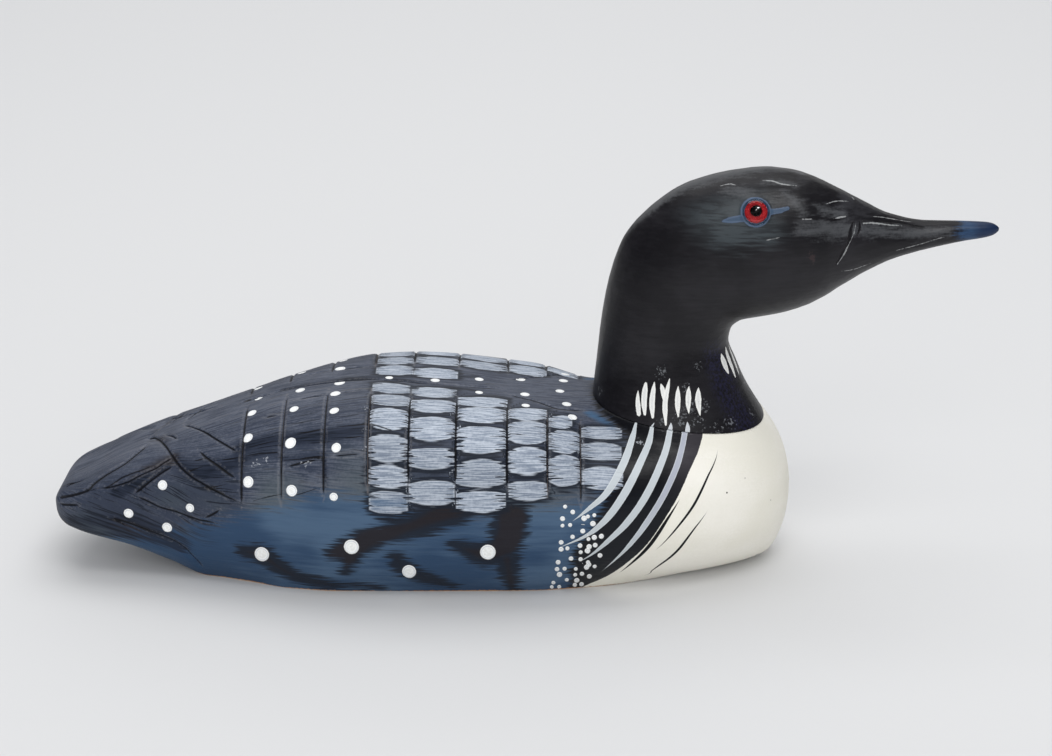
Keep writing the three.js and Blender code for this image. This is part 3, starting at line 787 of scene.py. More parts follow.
def bodyCutLines():
    c = bodyCuts
    even = (c["half"], c["half"])
    cuts = []

    def add(places, side, flanks, share=1):
        line = traced(bodyPoint, places, side)
        cuts.append(cutAlong(line, side, flanks, c["depth"] * share, c["endDepth"], c["snap"]))

    add(c["spine"], near, even)
    rows = bodyMarks["featherRows"]
    for side in (near, far):
        for row, start in zip(rows, rowStarts(rows)):
            add([(row, girth) for girth in np.linspace(start, c["rowEnd"], 12)], side, even)
        for places in c["lines"]:
            add(places, side, even, c["lineDepth"])
        for left, right, places in c["edges"]:
            add(places, side, (left, right), c["edgeDepth"])
    for places in c["leftLines"]:
        add(places, far, even)
    return cuts


def flatDots(points, normals, dots, side):
    # dots that are round on the surface: middle, radius and two directions along the surface
    spots = []
    for middle, mark in zip(bodySpots(dots, side), dots):
        normal = normals[np.linalg.norm(points - middle, axis=1).argmin()]
        first = np.cross([0, 1, 0], normal)
        first /= np.linalg.norm(first)
        spots.append((middle, mark[2], first, np.cross(normal, first)))
    return spots


def facingDots(dots, side):
    # dots that look round from the side
    tilt = math.radians(bodyMarks["faceOn"])
    ahead = np.array([1, 0, 0])
    up = np.array([0, -side * math.sin(tilt), math.cos(tilt)])
    return [(middle, mark[2], ahead, up) for middle, mark in zip(bodySpots(dots, side), dots)]


def squareFields(place, rounds, totals, columns, seed):
    # for the nearest square: how far inside its ends, and inside its sides, which bulge like a
    # barrel; and how thickly it is painted. A row keeps its height above the base.
    rng = np.random.default_rng(seed)
    best = np.full(len(place), squareClear)
    ends, sides, tone = best, best, np.zeros(len(place))
    for k, column in enumerate(columns):
        start, end = bodyMarks["columnEnds"][k:k + 2]
        middle, half = (start + end) / 2, (end - start) / 2 - bodyMarks["columnGap"]
        level = rounds - np.interp(place, *totals) + np.interp(middle, *totals)
        for low, high, *share in column:
            shift, thick = rng.uniform(-0.4, 0.4), rng.uniform(0.76, 1)
            reach = half * (share[0] if share else 1)
            across = np.abs(place - middle - shift + half - reach) / reach
            height = (high - low) / 2 * (1 - bodyMarks["barrel"] * np.minimum(across**2, 2))
            inEnds = reach * (1 - across)
            inSides = height - np.abs(level - (low + high) / 2)
            inside = np.minimum(inEnds, inSides)
            closer = inside > best
            best = np.where(closer, inside, best)
            ends, sides = np.where(closer, inEnds, ends), np.where(closer, inSides, sides)
            tone = np.where(closer, thick, tone)
    return {"squareEnds": ends, "squareSides": sides, "squareTone": tone}


def brushed(points, strokes, side):
    # sum of broad strokes, each strongest on its line and gone at its half width
    total = np.zeros(len(points))
    for marks, half, amount in strokes:
        line = bodyLine(marks, side, 24)
        chosen = around(points, line, half)
        gap = nearLine(points[chosen], line)[0]
        total[chosen] += amount * (1 - smoothStep(gap, 0, half))
    return total


def past(place, rounds, edge):
    # distance in front of an edge that is given as places at growing distance round the body
    table = np.array(sorted(edge, key=lambda mark: mark[1]), float)
    curve = curveThrough(table[:, 1], table[:, 0])
    here = np.clip(rounds, table[0, 1], table[-1, 1])
    slope = curve(here + 0.5) - curve(here - 0.5)
    return (place - curve(here)) / np.sqrt(1 + slope**2)


def bodyGrid():
    # rings that run from the near base over the back to the far base and across the underside,
    # and for each of their points its place along, its distance round, its girth and its side
    s = bodySettings
    rows = np.array(bodyMarks["featherRows"])

    def density(along):
        toRow = np.abs(along[:, None] - rows[None]).min(1) * s["length"]
        atRow = s["rowRings"] * np.exp(-((toRow / s["rowSpread"]) ** 2))
        return 1 + atRow + s["tailRings"] * (along < s["tailShare"])

    alongs = evenStations(bodyPoint, [0, 0.5, 1, 1.5, 2], s["rings"], density)[:-1]
    girths, rounds, halves = {}, {}, {}
    for side, finer in ((near, 1), (far, s["farSteps"])):
        upper, upperRound = evenRounds(bodyPoint, alongs, 0, 1, round(s["upperSteps"] * finer))
        lower, lowerRound = evenRounds(bodyPoint, alongs, 1, 2, round(s["lowerSteps"] * finer))
        girths[side] = np.concatenate([upper, lower[:, 1:]], 1)
        rounds[side] = np.concatenate([upperRound, upperRound[:, -1:] + lowerRound[:, 1:]], 1)
        halves[side] = bodyPoint(alongs[:, None], girths[side], side)
    total = rounds[near][:, -1:]
    w = np.linspace(0, 1, s["underSteps"] + 1)[1:-1]
    under = halves[far][:, -1:] * (1 - w)[None, :, None] + halves[near][:, -1:] * w[None, :, None]
    blank = {side: np.zeros_like(rounds[side]) for side in (near, far)}
    blankUnder = np.zeros_like(under[..., 0])

    def joined(nearValues, farValues, underValues):
        return np.concatenate([nearValues[:, ::-1], farValues[:, 1:], underValues], 1)

    rings = joined(halves[near], halves[far], under)
    ringSize = rings.shape[1]
    return {
        "rings": rings,
        "points": rings.reshape(-1, 3),
        "normals": gridNormals(rings),
        "place": np.repeat(alongs * s["length"], ringSize),
        "rounds": joined(rounds[near], rounds[far], blankUnder + 200).ravel(),  # past every mark
        "isUnder": joined(blank[near], blank[far], blankUnder + 1).ravel() > 0,
        "toBase": joined(total - rounds[near], total - rounds[far], blankUnder).ravel(),
        "side": joined(blank[near] + near, blank[far] + far, blankUnder).ravel(),
        "girth": joined(girths[near], girths[far], blankUnder + 2).ravel(),
        "total": np.repeat(total[:, 0], ringSize),
        "totals": (alongs * s["length"], total[:, 0]),
    }


def bodyMarkFields(grid, m):
    # strokes, dots, squares and patches of paint, which lie on both halves
    points, normals, sideOf = grid["points"], grid["normals"], grid["side"]
    fields = {key: np.full(len(points), clear) for key in ("patches", "hollowShade")}
    for key in ("squareEnds", "squareSides", "squareTone"):
        fields[key] = np.full(len(points), squareClear)
    for key in ("shade", "tint", "scuff"):
        fields[key] = np.zeros(len(points))
    rng = np.random.default_rng(11)
    small = [(*spot, rng.uniform(*m["smallDotRadius"])) for spot in m["smallDots"]]
    mantle = {near: m["mantleDotsRight"] + m["mantleDotsMiddle"], far: m["mantleDotsLeft"]}
    squares = {near: m["squaresRight"], far: m["squaresLeft"]}
    spots, inks = [], []
    stripes = {key: [] for key in ("stripesA", "stripesB")}
    for side in (near, far):
        chosen = np.flatnonzero(sideOf == side)
        p = points[chosen]
        wing = m["wingDots"] if side == near else [dot for dot in m["wingDots"] if dot[1] > 10]
        spots += flatDots(points, normals, wing + mantle[side], side)
        spots += facingDots(m["sideDots"] + small, side)
        place, rounds = grid["place"][chosen], grid["rounds"][chosen]
        for key, values in squareFields(place, rounds, grid["totals"], squares[side], 3 + side).items():
            fields[key][chosen] = values
        for k, marks in enumerate(m["stripes"]):
            key = "stripesA" if k % 2 else "stripesB"
            stripes[key].append((bodyLine(marks, side), m["stripeHalves"][k]))
        for key, strokes in (("patches", m["patches"]), ("hollowShade", m["hollowShadeStrokes"])):
            for marks, widths in strokes:
                inside = insideStroke(p, bodyLine(marks, side), widths)
                fields[key][chosen] = np.maximum(fields[key][chosen], inside)
        inks += [(bodyLine(marks, side), widths) for marks, widths in m["inks"]]
        fields["shade"][chosen] = np.clip(brushed(p, m["shades"], side), -1, 1)
        fields["tint"][chosen] = np.clip(brushed(p, m["tints"], side), 0, 1)
    for key, lines in stripes.items():
        fields[key] = strokeField(points, normals, lines, 1.5)
    fields["inks"] = strokeField(points, normals, inks, 1.2)
    dotFields = spotFields(points, spots, 1.3)
    for k, field in enumerate(dotFields):
        fields[f"dots{k}"] = field
    for spot, mark in zip(bodySpots(m["scuffs"], near), m["scuffs"]):
        nearness = 1 - np.linalg.norm(points - spot, axis=1) / mark[2]
        fields["scuff"] = np.maximum(fields["scuff"], nearness)
    return fields, len(dotFields)


def bodyEdgeFields(grid, m):
    # distances to the edges of the broad areas of paint, and where brush marks run
    points, normals, place, rounds = grid["points"], grid["normals"], grid["place"], grid["rounds"]
    isUnder, total = grid["isUnder"], grid["total"]
    wingEdge = np.array(m["wingEdge"], float)
    fields = {
        "white": np.clip(past(place, rounds, m["whiteEdge"]), -30, 30),
        "black": np.clip(past(place, rounds, m["blackEdge"]), -20, 20),
        "wing": np.clip(np.interp(place, wingEdge[:, 0], wingEdge[:, 1]) - rounds, -30, 30),
        "under": isUnder * smoothStep(points[:, 2], 2.5, 0.8),
        "edge": grid["toBase"],
        "lift": 9 * smoothStep(points[:, 2], 1, 4) * (place < 90),  # keeps the tail's edge painted
    }
    # brush marks run level low on the side and follow the back higher up
    level = rounds + smoothStep(rounds / total, 0.15, 0.5) * (total.max() - total)
    over = np.where(isUnder, points[:, 1], level * grid["side"])
    fields["brush"] = np.stack([place, over, 0 * place], 1)
    seatGap = np.maximum(0, outsideSeat(points[:, 0], points[:, 1]))
    fields["seam"] = np.clip(np.where(normals[:, 2] > 0.1, seatGap, 20), 0, 20)
    rows, girth = np.array(m["featherRows"]), grid["girth"][:, None]
    toRow = np.abs(place[:, None] - rows * bodySettings["length"])
    toRow = np.where((girth > rowStarts(rows)) & (girth < bodyCuts["rowEnd"]), toRow, 9)
    fields["row"] = np.minimum(toRow.min(1), 9)
    return fields


def makeBody():
    s, grid = bodySettings, bodyGrid()
    points, normals, isUnder = grid["points"], grid["normals"], grid["isUnder"]
    fields, dotSets = bodyMarkFields(grid, bodyMarks)
    fields["shade"][isUnder] = 1
    fields |= bodyEdgeFields(grid, bodyMarks)
    uneven = lumps(points, s["lumpSize"], 1) * 0.7
    uneven += lumps(points * [0.4, 1, 1], s["fineLumpSize"], 2) * 0.3
    uneven[isUnder] = 0
    fade = smoothStep(grid["toBase"], 0, 4) * smoothStep(fields["seam"], 0, 3)
    points = points - normals * (uneven * fade * s["lumpDepth"])[:, None]
    fields["cut"] = carve(points, normals, bodyCutLines())
    fields["cut"][isUnder] = 9
    return ringPiece("painted_body", points.reshape(grid["rings"].shape), fields), dotSets


body, dotSets = makeBody()

# What is painted and carved on the head: pairs of place along its stations and share of the way
# down from the crown to the chin or throat. Half widths are in millimetres.
headMarks = {
    "neckStrokes": [
        ([(0.05, 0.357), (0.032, 0.355), (0.012, 0.352)], (0.15, 0.75, 1.05, 0.85)),
        ([(0.066, 0.392), (0.04, 0.385), (0.014, 0.378)], (0.5, 1.15, 1.2, 1.1, 0.5)),
        ([(0.07, 0.432), (0.04, 0.42), (0.012, 0.408)], (0.15, 0.9, 1.15, 1.1, 0.5)),
        ([(0.067, 0.46), (0.05, 0.467), (0.03, 0.467)], (0.2, 0.9, 0.9, 0.5, 0.05)),
        ([(0.079, 0.503), (0.043, 0.476), (0.005, 0.451)], (0.1, 0.75, 1.0, 1.05, 0.35)),
        ([(0.063, 0.535), (0.04, 0.52), (0.017, 0.502)], (0.1, 0.85, 1.15, 1.0, 0.3)),
        ([(0.062, 0.583), (0.042, 0.565), (0.022, 0.545)], (0.1, 0.95, 1.2, 1.0, 0.25)),
        ([(0.058, 0.625), (0.039, 0.605), (0.019, 0.585)], (0.1, 1.0, 1.35, 1.05, 0.2)),
    ],
    "throatStrokes": [
        ([(0.118, 0.82), (0.094, 0.818), (0.07, 0.82)], (0.3, 1.4, 1.6, 1.3, 0.5)),
        ([(0.131, 0.885), (0.095, 0.875), (0.056, 0.87)], (0.2, 1.1, 1.3, 1.1, 0.4)),
        ([(0.126, 0.955), (0.09, 0.94), (0.054, 0.925)], (0.2, 0.9, 1.1, 0.9, 0.3)),
    ],
    "stripeTips": [
        ([(0.006, 0.41), (0.001, 0.4), (0, 0.398)], (0.1, 0.3, 0.4)),
        ([(0.009, 0.472), (0.004, 0.467), (0, 0.462)], (0.1, 0.6, 0.85)),
        ([(0.012, 0.526), (0.006, 0.52), (0, 0.513)], (0.1, 0.65, 0.95)),
    ],
    "scuffs": [
        (0.03, 0.62, 4), (0.03, 0.56, 4), (0.022, 0.53, 4.5), (0.015, 0.51, 4), (0.01, 0.44, 3),
        (0.012, 0.56, 5), (0.005, 0.63, 4), (0.01, 0.7, 4), (0.011, 0.86, 3.5), (0.101, 0.65, 3),
        (0.023, 0.12, 4), (0.018, 0.36, 2.6), (0.06, 0.57, 3), (0.09, 0.47, 4),
    ],
    # painted highlights: a band along the crown, and the planes of the face and bill that face up, under
    # the eye and on the brow
    "paintedSheens": [
        ([(0.3, 0), (0.36, 0), (0.44, 0), (0.52, 0), (0.6, 0)], (2, 5, 6, 5, 2)),
        ([(0.563, 0.38), (0.595, 0.39), (0.634, 0.39), (0.673, 0.36)], (2.4, 3.4, 3.6, 2.4)),
        (
            [(0.703, 0.35), (0.751, 0.33), (0.795, 0.34), (0.835, 0.35), (0.878, 0.38)],
            (2.3, 2.9, 2.7, 2.3, 1.1),
        ),
        ([(0.558, 0.22), (0.569, 0.26), (0.579, 0.31)], (2, 2.6, 2.2)),
        ([(0.531, 0.14), (0.558, 0.14), (0.579, 0.16)], (0.8, 1.8, 1)),
        ([(0.611, 0.26), (0.634, 0.28), (0.666, 0.27)], (1, 2.2, 1.5)),
        ([(0.463, 0.15), (0.486, 0.18), (0.503, 0.2)], (1, 2.2, 1)),
    ],
    # painted highlights: small bright streaks on the brow, face and bill, the last along the lit edge of
    # the border cut
    "paintedGlints": [
        ([(0.641, 0.32), (0.655, 0.3), (0.669, 0.28)], (0.05, 0.5, 0.15)),
        ([(0.572, 0.34), (0.596, 0.34)], (0.2, 0.3)),
        ([(0.458, 0.12), (0.473, 0.12), (0.486, 0.14)], (0.05, 0.35, 0.1)),
        ([(0.527, 0.13), (0.543, 0.14), (0.562, 0.16), (0.584, 0.16)], (0.1, 0.4, 0.4, 0.1)),
        ([(0.491, 0.41), (0.518, 0.41)], (0.25, 0.15)),
        ([(0.703, 0.3), (0.741, 0.26), (0.792, 0.23)], (0.3, 0.45, 0.1)),
        ([(0.722, 0.21), (0.766, 0.14), (0.812, 0.12)], (0.1, 0.3, 0.1)),
        ([(0.633, 0.24), (0.653, 0.19), (0.679, 0.14)], (0.05, 0.3, 0.1)),
        ([(0.688, 0.05), (0.691, 0.08)], (0.3, 0.3)),
        ([(0.771, 0.62), (0.815, 0.59), (0.878, 0.49)], (0.08, 0.25, 0.08)),
        ([(0.636, 0.66), (0.68, 0.69), (0.716, 0.7)], (0.08, 0.25, 0.08)),
        (
            [(0.687, 0.31), (0.681, 0.38), (0.671, 0.44), (0.654, 0.52), (0.63, 0.6)],
            (0.1, 0.2, 0.2, 0.28, 0.15),
        ),
    ],
    "ringInner": 4.7,
    "ringOuter": 6.0,
    "ringSpikes": [
        ([(0.47, 0.305), (0.45, 0.3), (0.436, 0.295)], (1.3, 1.0, 0.15)),
        ([(0.518, 0.3), (0.535, 0.3), (0.553, 0.29)], (1.3, 1.15, 0.9)),
    ],
    "billTip": 0.905,  # where the blue of the tip begins
    "cheekEdge": [
        (0.2, 0.06), (0.296, 0.2), (0.358, 0.36), (0.398, 0.42), (0.469, 0.44), (0.534, 0.43),
        (0.581, 0.43), (0.638, 0.4), (0.7, 0.42), (0.8, 0.45), (0.9, 0.45),
    ],
    "chip": (0.569, 0.52, 2.0),
    "depth": 0.3,  # of the cuts at the bill's border
    "endDepth": 0.1,
    "half": 0.7,
    "lines": [
        (
            [(0.681, 0.31), (0.673, 0.38), (0.665, 0.46), (0.648, 0.52), (0.626, 0.6)],
            (0.2, 0.75, 0.65, 0.45, 0.12),
        ),
        ([(0.696, 0.29), (0.695, 0.34), (0.686, 0.41)], (0.1, 0.5, 0.08)),
        ([(0.701, 0.28), (0.743, 0.22), (0.793, 0.18), (0.836, 0.22)], (0.1, 0.3, 0.25, 0.08)),
    ],
}
eyeSettings = {
    "along": 0.496,
    "down": 0.29,
    "radius": 5,
    "proud": 2,
    "rim": 0.4,
    "glassBack": -0.68,  # heights over the head's surface: the iris lies inside the glass
    "irisTop": 0.01,
    "socket": 0.9,
    "socketGap": 0.1,
    "lid": 0.35,  # how thick the ring of paint and putty lies round the glass
    "lidSlope": 0.6,  # how far it runs out past the painted ring
    "area": 12,  # nothing further off than this is sunk or raised
    "irisRadius": 4.9,
    "irisThick": 0.6,
    "bevel": 0.15,  # round the back of the glass
    "hub": 0.05,  # radius at which a turned piece is closed
    "sides": 72,
    "pupilUp": 0.45,  # the pupil lies this far above the middle
}


def facets(along, down, side):
    # flats left by a knife: deepest in the middle of each, nothing where two of them meet
    s = headSettings
    rng = np.random.default_rng(23)
    cells = np.stack([along / s["facetLength"], down * side / s["facetWidth"]], 1)
    nearest, second = np.full(len(along), 9.0), np.full(len(along), 9.0)
    jitter = rng.uniform(0.15, 0.85, (4096, 2))
    base = np.floor(cells).astype(int)
    for i in (-1, 0, 1):
        for j in (-1, 0, 1):
            cell = base + [i, j]
            centre = cell + jitter[(cell @ np.array([97, 1013])) & 4095]
            gap = np.linalg.norm(cells - centre, axis=1)
            second = np.minimum(second, np.maximum(gap, nearest))
            nearest = np.minimum(nearest, gap)
    return np.clip(1 - (nearest / np.maximum(second, 1e-6)) ** 1.5, 0, 1)


def eyeFrame(side):
    # middle of the eye on the head, and the direction that it looks in
    e, step = eyeSettings, 0.004
    middle = headPoint(e["along"], e["down"], side)
    ahead = headPoint(e["along"] + step, e["down"], side) - headPoint(e["along"] - step, e["down"], side)
    up = headPoint(e["along"], e["down"] - step, side) - headPoint(e["along"], e["down"] + step, side)
    out = np.cross(ahead, up) * -side
    return middle, out / np.linalg.norm(out)


def headGrid():
    # rings from the seat of the neck to the bill tip, each from crown to chin and up the far side
    s = headSettings

    def density(along):
        eye = s["eyeRings"] * np.exp(-(((along - eyeSettings["along"]) / s["ringSpread"]) ** 2))
        border = s["borderRings"] * np.exp(-(((along - s["border"]) / s["ringSpread"]) ** 2))
        neck = s["neckRings"] * (along < s["neckEnd"])
        return 1 + eye + border + neck + s["billRings"] * (along > s["faceStart"])

    alongs = evenStations(headPoint, [0, 0.25, 0.5, 0.75, 1], s["rings"], density)[:-1]
    foot = s["footStep"] * np.arange(3)
    alongs = np.concatenate([foot, alongs[alongs > 3 * s["footStep"]]])
    down, _ = evenRounds(headPoint, alongs, 0, 1, s["steps"])

    def joined(nearValues, farValues):
        return np.concatenate([nearValues, farValues[:, -2:0:-1]], 1)

    rings = joined(*(headPoint(alongs[:, None], down, side) for side in (near, far)))
    return {
        "rings": rings,
        "points": rings.reshape(-1, 3),
        "normals": gridNormals(rings),
        "along": np.repeat(alongs, rings.shape[1]),
        "down": joined(down, down).ravel(),
        "side": joined(down * 0 + near, down * 0 + far).ravel(),
    }


def headLines(marks, side):
    return [(traced(headPoint, places, side), halfWidths) for places, halfWidths in marks]


def headMarkFields(grid, m):
    # strokes of paint, painted highlights and the rings round the eyes, which lie on both halves
    points = grid["points"]
    fields = {key: np.full(len(points), clear) for key in ("ring", "paintedSheen")}
    names = ("strokes0", "strokes1", "strokes2", "tips", "cutsA", "cutsB", "paintedGlints")
    strokes = {key: [] for key in names}
    for side in (near, far):
        chosen = np.flatnonzero(grid["side"] == side)
        p = points[chosen]
        for k, stroke in enumerate(headLines(m["neckStrokes"] + m["throatStrokes"], side)):
            strokes[f"strokes{k % 3}"].append(stroke)
        for line, halfWidths in headLines(m["stripeTips"], side):
            runOn = line[-1] + 3 * (line[-1] - line[-9]) / np.linalg.norm(line[-1] - line[-9])
            strokes["tips"].append((np.vstack([line, runOn]), (*halfWidths, halfWidths[-1])))
        for k, stroke in enumerate(headLines(m["lines"], side)):
            strokes["cutsB" if k == 1 else "cutsA"].append(stroke)
        strokes["paintedGlints"] += headLines(m["paintedGlints"], side)
        for line, halfWidths in headLines(m["paintedSheens"], side):
            fields["paintedSheen"][chosen] = np.maximum(fields["paintedSheen"][chosen], insideStroke(p, line, halfWidths))
        reach = np.linalg.norm(p - eyeFrame(side)[0], axis=1)
        inside = np.minimum(m["ringOuter"] - reach, reach - m["ringInner"] + 3)
        for line, halfWidths in headLines(m["ringSpikes"], side):
            inside = np.maximum(inside, insideStroke(p, line, halfWidths))
        fields["ring"][chosen] = np.maximum(inside, clear)
    for key, lines in strokes.items():
        fields[key] = strokeField(points, grid["normals"], lines, 1)
    return fields


def headAreaFields(grid, m):
    # broad areas of the head, its chip and its scuffs
    points, along, down = grid["points"], grid["along"], grid["down"]
    spot = headPoint(m["chip"][0], m["chip"][1], near)
    chipReach = np.linalg.norm((points - spot) * [1.3, 1, 0.8], axis=1)
    edge = np.array(m["cheekEdge"])
    cheek = (np.interp(along, edge[:, 0], edge[:, 1]) - down) * headSettings["width"]
    fields = {
        "chip": np.clip(m["chip"][2] - chipReach, clear, -clear),
        "tip": (along - m["billTip"]) * headReach,
        "cheek": np.clip(cheek, -20, 20),
        "along": along,
        "down": down,
        "seam": np.clip(points[:, 2] - seatHeight(points[:, 0]), 0, 30),
        "scuff": np.zeros(len(points)),
    }
    for scuffAlong, scuffDown, radius in m["scuffs"]:
        spot = headPoint(scuffAlong, scuffDown, near)
        nearness = 1 - np.linalg.norm(points - spot, axis=1) / radius
        fields["scuff"] = np.maximum(fields["scuff"], nearness)
    return fields


def withSockets(points):
    # a round socket sunk for each eye, and a low lid round it
    e, ringOuter = eyeSettings, headMarks["ringOuter"]
    wall = e["radius"] + e["socketGap"]
    for side in (near, far):
        middle, out = eyeFrame(side)
        off = points - middle
        reach = np.linalg.norm(off - (off @ out)[:, None] * out, axis=1)
        outer = smoothStep(ringOuter + e["lidSlope"] - reach, 0, 1)
        lid = e["lid"] * outer * smoothStep(reach, wall - 0.3, wall + 0.2)
        sink = e["socket"] * smoothStep(wall - reach, 0, 0.4)
        isNear = np.linalg.norm(off, axis=1) < e["area"]
        points = points + out * ((lid - sink) * isNear)[:, None]
    return points


def makeHead():
    s, m, grid = headSettings, headMarks, headGrid()
    points, normals = grid["points"], grid["normals"]
    fields = headMarkFields(grid, m) | headAreaFields(grid, m)
    flats = facets(grid["along"], grid["down"], grid["side"])
    fade = smoothStep(fields["seam"], 0, 5) * smoothStep(1 - grid["along"], 0.02, 0.2)
    points = points - normals * (fade * (flats * s["facetDepth"] + s["shave"]))[:, None]
    even = (m["half"], m["half"])
    cuts = []
    for side in (near, far):
        for line, _ in headLines(m["lines"], side):
            cuts.append(cutAlong(line, side, even, m["depth"], m["endDepth"], 0))
    carve(points, normals, cuts)
    return ringPiece("painted_head", withSockets(points).reshape(grid["rings"].shape), fields, 60)


head = makeHead()


def turnedPiece(name, profile, middle, out, fields=None):
    # a profile of radius and height, turned about the direction out
    side = np.cross(out, [0, 0, 1])
    side /= np.linalg.norm(side)
    up = np.cross(side, out)
    profile = np.array(profile, float)
    turn = np.linspace(0, 2 * math.pi, eyeSettings["sides"], endpoint=False)
    circle = np.cos(turn)[:, None] * side + np.sin(turn)[:, None] * up
    rings = middle + profile[:, 0, None, None] * circle[None] + profile[:, 1, None, None] * out
    values = {}
    for key, column in (fields or {}).items():
        values[key] = np.repeat(np.array(column, float), eyeSettings["sides"])
    return ringPiece(name, rings, values, 40)


def domeProfile(radius, low, high, steps):
    # an arc from the rim up to just short of the axis
    rise = high - low
    bend = (radius**2 + rise**2) / (2 * rise)
    angle = np.linspace(math.asin(min(1, radius / bend)), 0.01, steps)
    return [(bend * math.sin(a), high - bend * (1 - math.cos(a))) for a in angle]


def makeEye(label, side):
    e = eyeSettings
    middle, out = eyeFrame(side)
    back, radius, bevel, hub = e["glassBack"], e["radius"], e["bevel"], e["hub"]
    glassProfile = [(hub, back), (radius / 2, back), (radius - bevel, back), (radius, back + bevel)]
    glassProfile += domeProfile(radius, e["rim"], e["proud"], 16)
    glass = turnedPiece("glass_" + label, glassProfile, middle, out)
    top = e["irisTop"]
    irisRadii = np.linspace(e["irisRadius"], hub, 24)
    irisProfile = [(r, top - e["irisThick"]) for r in (hub, e["irisRadius"])]
    irisProfile += [(r, top) for r in irisRadii]
    reach = [hub, e["irisRadius"], *irisRadii]
    iris = turnedPiece("iris_" + label, irisProfile, middle, out, {"reach": reach})
    return glass, iris


eyes = {}
for label, side in (("eye_right", near), ("eye_left", far)):
    eyes[label] = makeEye(label, side)
print("eyes made")


# Materials


def colour(red, green, blue):
    # a colour given on the 0 to 255 scale of a screen, made linear
    shares = np.array([red, green, blue]) / 255
    linear = np.where(shares <= 0.04045, shares / 12.92, ((shares + 0.055) / 1.055) ** 2.4)
    return (*linear.tolist(), 1)


class Wire:
    # the output of a node; arithmetic on it adds Math nodes
    def __init__(self, finish, socket):
        self.finish = finish
        self.socket = socket

    def __add__(self, other):
        return self.finish.maths("ADD", self, other)

    def __radd__(self, other):
        return self.finish.maths("ADD", other, self)

    def __sub__(self, other):
        return self.finish.maths("SUBTRACT", self, other)

    def __rsub__(self, other):
        return self.finish.maths("SUBTRACT", other, self)

    def __mul__(self, other):
        return self.finish.maths("MULTIPLY", self, other)

    def __rmul__(self, other):
        return self.finish.maths("MULTIPLY", other, self)


class Finish:
    # one material, built node by node
    def __init__(self, name):
        self.material = bpy.data.materials.new(name)
        self.material.use_nodes = True
        self.nodes = self.material.node_tree.nodes
        self.links = self.material.node_tree.links
        self.nodes.clear()

    def node(self, kind, settings=None, inputs=None, output=0):
        made = self.nodes.new(kind)
        for key, value in (settings or {}).items():
            setattr(made, key, value)
        for key, value in (inputs or {}).items():
            if isinstance(value, Wire):
                self.links.new(value.socket, made.inputs[key])
            else:
                made.inputs[key].default_value = value
        return Wire(self, made.outputs[output]) if made.outputs else made

    def maths(self, operation, first, second):
        return self.node("ShaderNodeMath", {"operation": operation}, {0: first, 1: second})

    def least(self, first, second):
        return self.maths("MINIMUM", first, second)

    def most(self, first, second):
        return self.maths("MAXIMUM", first, second)

    def step(self, value, low, high):
        # rises smoothly from 0 at low to 1 at high
        settings = {"interpolation_type": "SMOOTHSTEP"}
        inputs = {"Value": value, "From Min": low, "From Max": high}
        return self.node("ShaderNodeMapRange", settings, inputs)

    def mix(self, factor, first, second):
        settings = {"data_type": "RGBA"}
        return self.node("ShaderNodeMix", settings, {0: factor, 6: first, 7: second}, 2)

    def field(self, name):
        return self.node("ShaderNodeAttribute", {"attribute_name": name}, output=2)

    def parts(self, name):
        # the three numbers of a vector attribute
        place = self.node("ShaderNodeAttribute", {"attribute_name": name}, output=1)
        split = self.node("ShaderNodeSeparateXYZ", inputs={"Vector": place}).socket.node
        return [Wire(self, socket) for socket in split.outputs]

    def inStroke(self, name):
        # how far inside the nearest brush stroke
        across, half, _ = self.parts(name)
        return half - self.maths("ABSOLUTE", across, 0)

    def inDot(self, name):
        # how far inside the nearest dot
        first, second, radius = self.parts(name)
        return radius - self.maths("SQRT", first * first + second * second, 0)

    def noise(self, perMetre, detail=2, rough=0.5):
        # noise with its own fineness along each axis, in lumps to the metre
        return self.noiseOn(self.node("ShaderNodeTexCoord", output=3), perMetre, detail, rough)

    def strokes(self, alongBody, roundBody, detail=2, rough=0.5):
        # noise drawn out along the body over its own surface, in lumps to the millimetre
        place = self.node("ShaderNodeAttribute", {"attribute_name": "brush"}, output=1)
        return self.noiseOn(place, (alongBody, roundBody, 1), detail, rough)

    def noiseOn(self, place, scale, detail, rough):
        scaled = self.node("ShaderNodeVectorMath", {"operation": "MULTIPLY"}, {0: place, 1: scale})
        inputs = {"Vector": scaled, "Scale": 1, "Detail": detail, "Roughness": rough}
        return self.node("ShaderNodeTexNoise", inputs=inputs)

    def reach(self, spot):
        # distance in millimetres from a point given in millimetres
        place = self.node("ShaderNodeTexCoord", output=3)
        inputs = {0: place, 1: tuple(float(v) * metre for v in spot)}
        return self.node("ShaderNodeVectorMath", {"operation": "DISTANCE"}, inputs, 1) * (1 / metre)

    def bump(self, height, distance, strength=1):
        inputs = {"Height": height, "Distance": distance, "Strength": strength}
        return self.node("ShaderNodeBump", inputs=inputs)

    def surface(self, inputs):
        shader = self.node("ShaderNodeBsdfPrincipled", inputs=inputs)
        self.node("ShaderNodeOutputMaterial", inputs={"Surface": shader})
        return self.material


